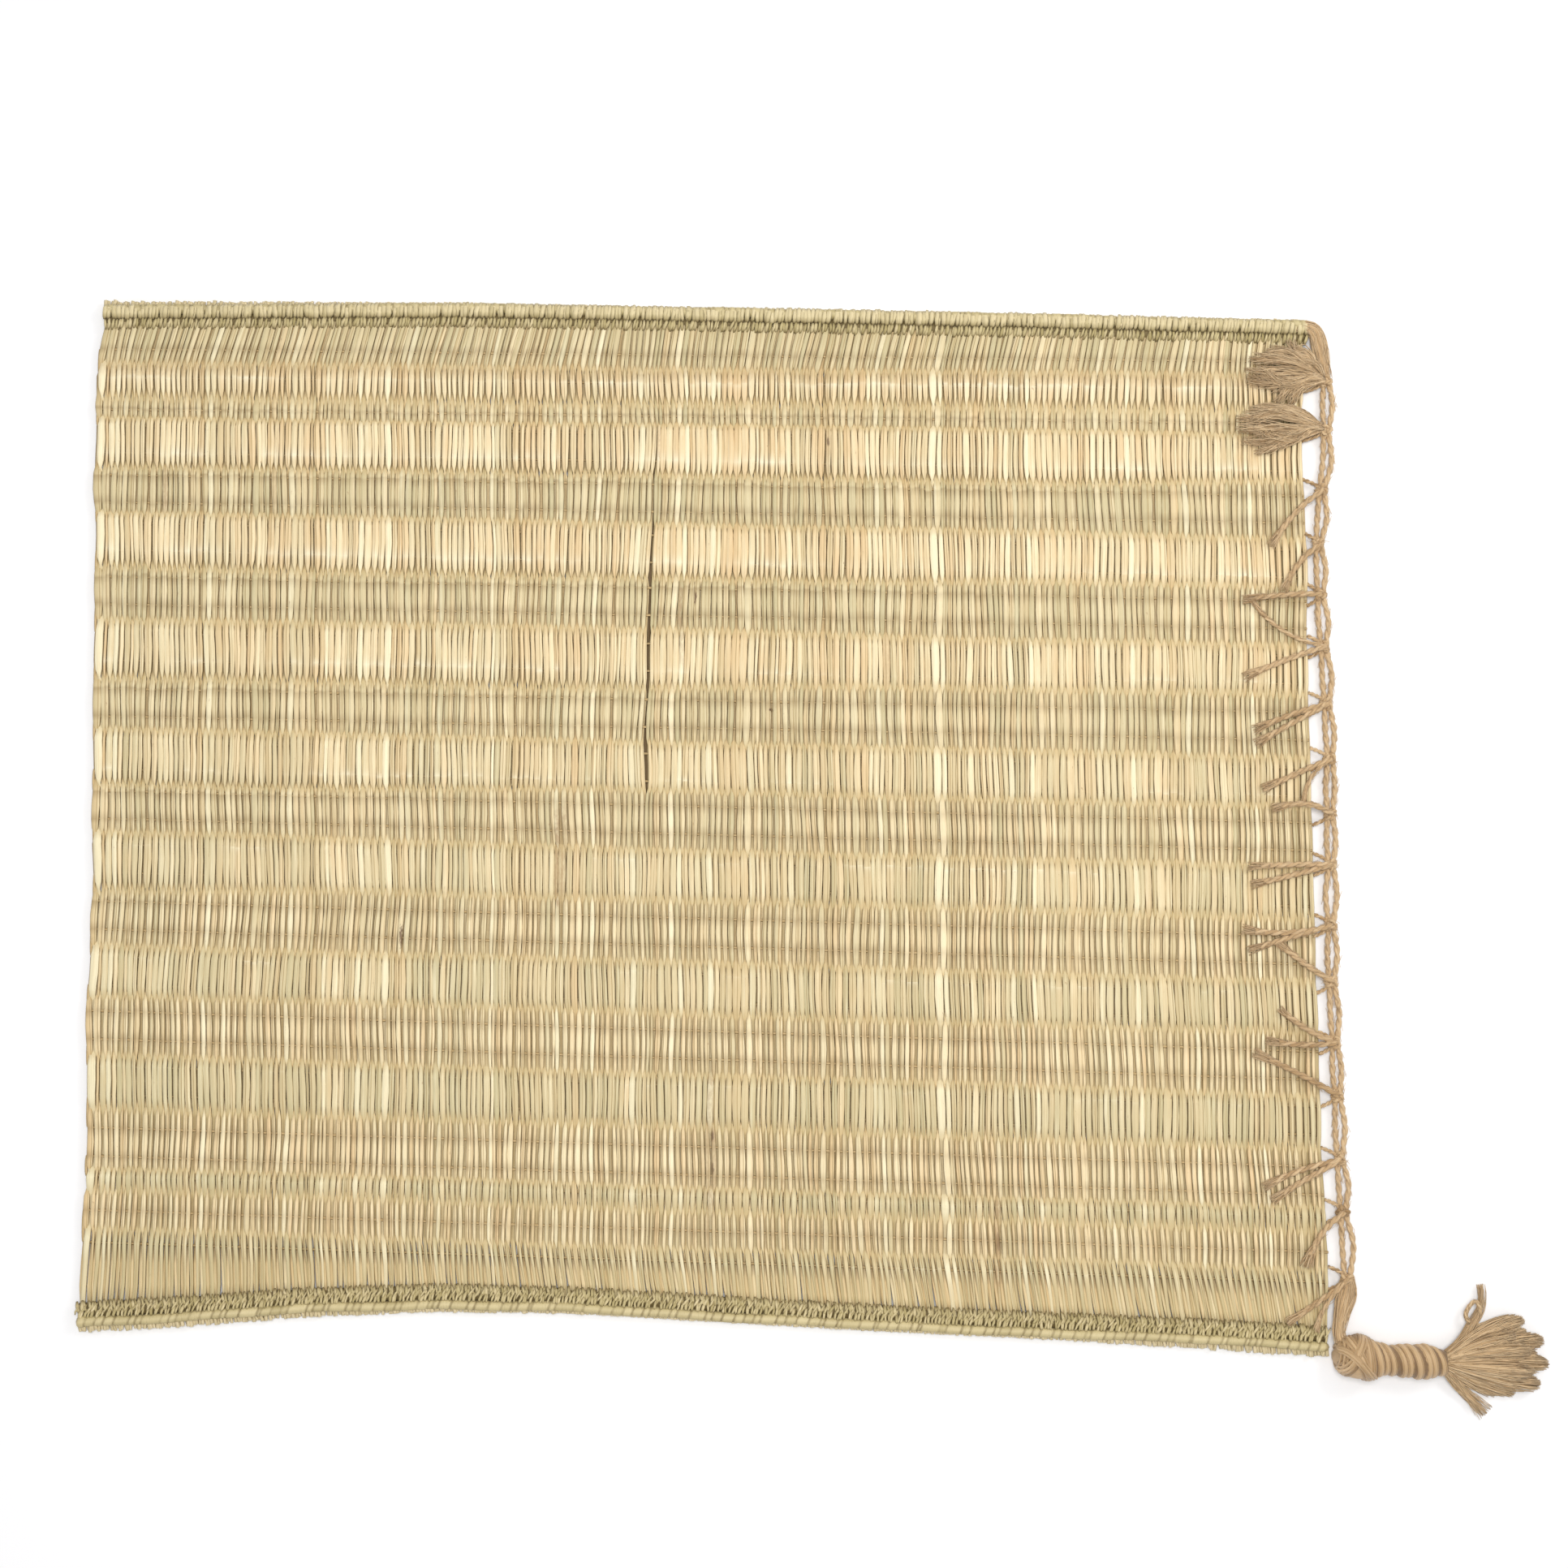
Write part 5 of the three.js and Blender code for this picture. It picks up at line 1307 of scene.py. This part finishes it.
class MAT_OT_corner_knot(Operator):
    """Tie the wrapped knot at the lower right corner"""

    bl_idname = "mat.corner_knot"
    bl_label = "Wrapped knot"

    def execute(self, context):
        rng = np.random.default_rng(71)
        batches = [self.core(), *self.wraps(rng), *self.bulb(rng)]
        material = ready("jute_wraps", jute_material, context.scene.mat_colours, 0.0, WRAP_SIDE_SHADE_SHARE)
        build("wrapped_knot", batches, material, "jute", "corner_knot")
        return {"FINISHED"}

    def core(self):
        """The skin under the wraps and bands, a flattened round at each place along the knot."""
        x = np.linspace(CORNER_KNOT[0][0], CORNER_KNOT[-1][0], 40)
        around = 2 * math.pi * np.arange(16) / 16
        grid_x, grid_a = np.meshgrid(x, around, indexing="ij")
        wrapped = smoothstep(BANDS_END, WRAPS_START, grid_x)
        half = knot_half(grid_x) - 1.2 - 0.5 * wrapped
        points = np.stack([
            grid_x, read(CORNER_KNOT_Y, grid_x) + half * np.cos(grid_a),
            KNOT_FLATNESS * (knot_half(grid_x) + half * np.sin(grid_a)),
        ], axis=-1)
        # Painted shade: the core is darkest under the wraps, where it shows in the grooves between them
        return skin(points[:, ::-1], tint=0.6 - 0.55 * wrapped)

    def wraps(self, rng):
        """Slanting turns round the knot, each of several strands laid side by side."""
        turns = (WRAPS["end"] - WRAPS["start"]) / WRAPS["pitch"]
        angle = np.linspace(0, 2 * math.pi * turns, int(30 * turns))
        x = WRAPS["start"] + WRAPS["pitch"] * angle / (2 * math.pi)
        x = x + WRAPS["slant"] * np.sin(angle) - 0.7 * np.cos(angle) + 0.7 * np.sin(angle * 0.37)
        x = np.clip(x, 319.5, 358.0)
        half = knot_half(x) - 1.5 + 0.25 * np.sin(angle * 0.61)
        path = np.stack([
            x, read(CORNER_KNOT_Y, x) + half * np.cos(angle),
            KNOT_FLATNESS * (half + 1.5 + half * np.sin(angle)),
        ], 1)
        thick = 1.45 + 0.25 * np.sin(angle * 0.83)
        batches = []
        for k in range(-WRAP_SIDE_STRANDS, WRAP_SIDE_STRANDS + 1):
            inward = 0.22 * k * k
            strand = path + [WRAP_STRAND_STEP * k, 0, 0]
            strand[:, 0] += 0.12 * np.sin(angle * 0.7 + 2 * k)
            strand[:, 1] -= inward * np.cos(angle)
            strand[:, 2] -= inward * np.sin(angle)
            # Painted highlight on the middle strand of each wrap, painted shade on the outer ones
            batches.append(tubes(
                strand, WRAP_STRAND_HALF, thick * (0.62 - 0.04 * abs(k)), 7, reference=(1, 0, 0),
                rng=rng, tint=(1.3 - 0.54 * abs(k)) + rng.uniform(-0.1, 0.1, 1),
            ))
        return batches

    def bulb(self, rng):
        """Bands that cross over the round part: loops about the knot's middle, each tilted in plan."""
        batches = []
        start = CORNER_KNOT[0][0]
        t = np.linspace(0, 2 * math.pi, 40)
        for place, tilt, half, strands, radius, lift in BANDS:
            lean = math.tan(math.radians(tilt))
            for k in range(strands):
                off = k - (strands - 1) / 2
                x = place + off * radius * 1.6 + lean * half * np.cos(t)
                x = start + np.abs(x - start)
                x = np.clip(x, 306.0, 330.0)
                reach = np.maximum(knot_half(x) - 0.8 * radius - 0.12 * off**2, 2.0)
                y = read(CORNER_KNOT_Y, x) + reach * np.cos(t)
                z = KNOT_FLATNESS * (reach + radius) + (KNOT_FLATNESS * reach + lift) * np.sin(t)
                path = np.stack([x, y, np.maximum(z, radius)], 1)
                # Painted highlight on the middle strands of each band, painted shade on the outer ones
                batches.append(tubes(
                    path, radius, 0.9 * radius, 7, reference=(1, 0, 0), rng=rng,
                    tint=1.25 - 0.42 * abs(off) + rng.uniform(-0.15, 0.15, 1),
                ))
        return batches


class MAT_OT_brush(Operator):
    """Spread the brush of loose jute locks beyond the knot"""

    bl_idname = "mat.brush"
    bl_label = "Brush"

    def execute(self, context):
        sizes, colours = context.scene.mat_sizes, context.scene.mat_colours
        rng = np.random.default_rng(83)
        hair = sizes.hair / MM
        batches = []
        for lock in BRUSH_LOCKS:
            batches += soft_bundle(
                self.lock_rows(lock), int(1.35 * lock[-1]), 1.35 * hair, rng, step=5.2, core=0.8,
                tapered=True, wiggle=0.7, ragged=0.025, scallop=0.2, tint=(-0.2, 1.5),
            )
        for rows in STRAY_LOCKS:
            batches += soft_bundle(
                rows, 60, hair, rng, step=3.0, core=0.6, tapered=True, wiggle=0.8, ragged=0.2,
            )
        loop = smooth_path(STRAY_LOOP, 1.2)
        wide, high = np.full(len(loop), 1.0), np.full(len(loop), 0.8)
        batches.append(tubes(twist(loop, 2, 0.45, 6.0), 0.6, 0.6, 5, rng=rng, tint=(0.3, 0.9)))
        batches.append(bundle(loop, wide, high, 16, hair, rng))
        material = ready("jute_fibre", jute_material, colours, FIBRE_LIFT)
        build("jute_brush", batches, material, "jute_brush", "corner_brush")
        return {"FINISHED"}

    def lock_rows(self, lock):
        """Rows of a lock from the knot's end to its tip: x, y, z, half width and half height."""
        tip_x, tip_y, bow, wide, high, level, _ = lock
        x, y = BRUSH_ROOT
        t = np.linspace(0, 1, 6)
        way, aside = heading_to(BRUSH_ROOT, (tip_x, tip_y))
        rows = np.zeros((6, 5))
        root = (x, y + 3.0 * way[1] / np.linalg.norm(way))
        rows[:, :2] = root + t[:, None] * (way + (0, y - root[1]))
        rows[:, :2] += bow * np.sin(math.pi * t)[:, None] * aside
        rows[:, 2] = BRUSH_LEVEL + (level + high - BRUSH_LEVEL) * smoothstep(0.0, 0.75, t)
        rows[:, 3] = wide * (0.35 + 0.65 * smoothstep(0.05, 0.75, t))
        rows[:, 4] = high * (0.8 + 0.2 * smoothstep(0.0, 0.5, t))
        rows[-1, 3] *= 0.85
        return rows


# Stage, in metres

FLOOR_REACH, FLOOR_LEVEL = 4.0, -0.0003
ROOM_COLOUR, ROOM_STRENGTH = (0.98, 0.985, 1.0, 1.0), 0.56
# Lamps: name, place, size, power, colour
LAMPS = [
    ("overhead", (0.0, 0.06, 1.5), 0.6, 14.0, (1.0, 0.985, 0.96)),
    ("right_side", (0.9, 0.55, 0.9), 0.4, 3.6, (1.0, 0.98, 0.95)),
]
# What the camera looks at, its tilt in degrees, its lens and its sensor in millimetres
CAMERA_TARGET, CAMERA_TILT, LENS, SENSOR = (-0.0119, 0.0331, 0.003), 4.204, 50.0, 36.0


class MAT_OT_stage(Operator):
    """Lay the pale floor, hang the soft lights and place the camera"""

    bl_idname = "mat.stage"
    bl_label = "Floor, light and camera"

    def execute(self, context):
        scene, sizes, colours = context.scene, context.scene.mat_sizes, context.scene.mat_colours
        mesh = bpy.data.meshes.new("floor")
        corners = [(-1, -1), (1, -1), (1, 1), (-1, 1)]
        places = [(x * FLOOR_REACH, y * FLOOR_REACH, FLOOR_LEVEL) for x, y in corners]
        mesh.from_pydata(places, [], [(0, 1, 2, 3)])
        mesh.materials.append(floor_material("pale_floor", colours))
        floor = bpy.data.objects.new("floor", mesh)
        scene.collection.objects.link(floor)

        world = bpy.data.worlds.new("soft_room")
        world.use_nodes = True
        sky = world.node_tree.nodes["Background"]
        sky.inputs["Color"].default_value = ROOM_COLOUR
        sky.inputs["Strength"].default_value = ROOM_STRENGTH
        scene.world = world
        for lamp in LAMPS:
            self.lamp(scene, *lamp)

        tilt = math.radians(CAMERA_TILT)
        data = bpy.data.cameras.new("camera")
        data.lens, data.sensor_width = LENS, SENSOR
        camera = bpy.data.objects.new("camera", data)
        away = sizes.camera_height * np.array([0.0, -math.sin(tilt), math.cos(tilt)])
        camera.location = tuple(np.array(CAMERA_TARGET) + away)
        camera.rotation_euler = (tilt, 0.0, 0.0)
        scene.collection.objects.link(camera)
        scene.camera = camera
        scene.view_settings.view_transform = "Standard"
        return {"FINISHED"}

    def lamp(self, scene, name, place, size, power, colour):
        """A square lamp that faces the middle of the mat."""
        data = bpy.data.lights.new(name, "AREA")
        data.size, data.energy, data.color = size, power, colour
        lamp = bpy.data.objects.new(name, data)
        lamp.location = place
        aim = -Vector(place)
        lamp.rotation_euler = aim.to_track_quat("-Z", "Y").to_euler()
        scene.collection.objects.link(lamp)


class MAT_PT_panel(Panel):
    """Sizes, colours and the steps that build the mat"""

    bl_idname = "MAT_PT_panel"
    bl_label = "Grass Mat"
    bl_space_type = "VIEW_3D"
    bl_region_type = "UI"
    bl_category = "Grass Mat"

    def draw(self, context):
        for step in STEPS:
            self.layout.operator(step.bl_idname)
        for group in (context.scene.mat_sizes, context.scene.mat_colours):
            column = self.layout.column()
            for name in group.bl_rna.properties.keys():
                if name not in ("rna_type", "name"):
                    column.prop(group, name)


STEPS = (
    MAT_OT_stage, MAT_OT_stems, MAT_OT_slit_shade_stem, MAT_OT_twine, MAT_OT_plaits,
    MAT_OT_edge_cord, MAT_OT_tassels, MAT_OT_corner_knot, MAT_OT_brush,
)
CLASSES = (MatSizes, MatColours, *STEPS, MAT_PT_panel)


def register():
    for each in CLASSES:
        bpy.utils.register_class(each)
    bpy.types.Scene.mat_sizes = PointerProperty(type=MatSizes)
    bpy.types.Scene.mat_colours = PointerProperty(type=MatColours)


def unregister():
    del bpy.types.Scene.mat_sizes
    del bpy.types.Scene.mat_colours
    for each in reversed(CLASSES):
        bpy.utils.unregister_class(each)


def main():
    register()
    knot_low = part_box("corner_knot")[0]
    if abs(knot_low.x / MM - (CORNER_KNOT[0][0] + SHIFT[0])) > 1:
        raise RuntimeError("the packed knot isn't where the tables put it")
    bpy.ops.mat.stage()
    bpy.ops.mat.stems()
    bpy.ops.mat.shrivelled_stem()
    bpy.ops.mat.twine()
    bpy.ops.mat.plaits()
    bpy.ops.mat.edge_cord()
    bpy.ops.mat.tassels()
    bpy.ops.mat.corner_knot()
    bpy.ops.mat.brush()


if __name__ == "__main__":
    main()
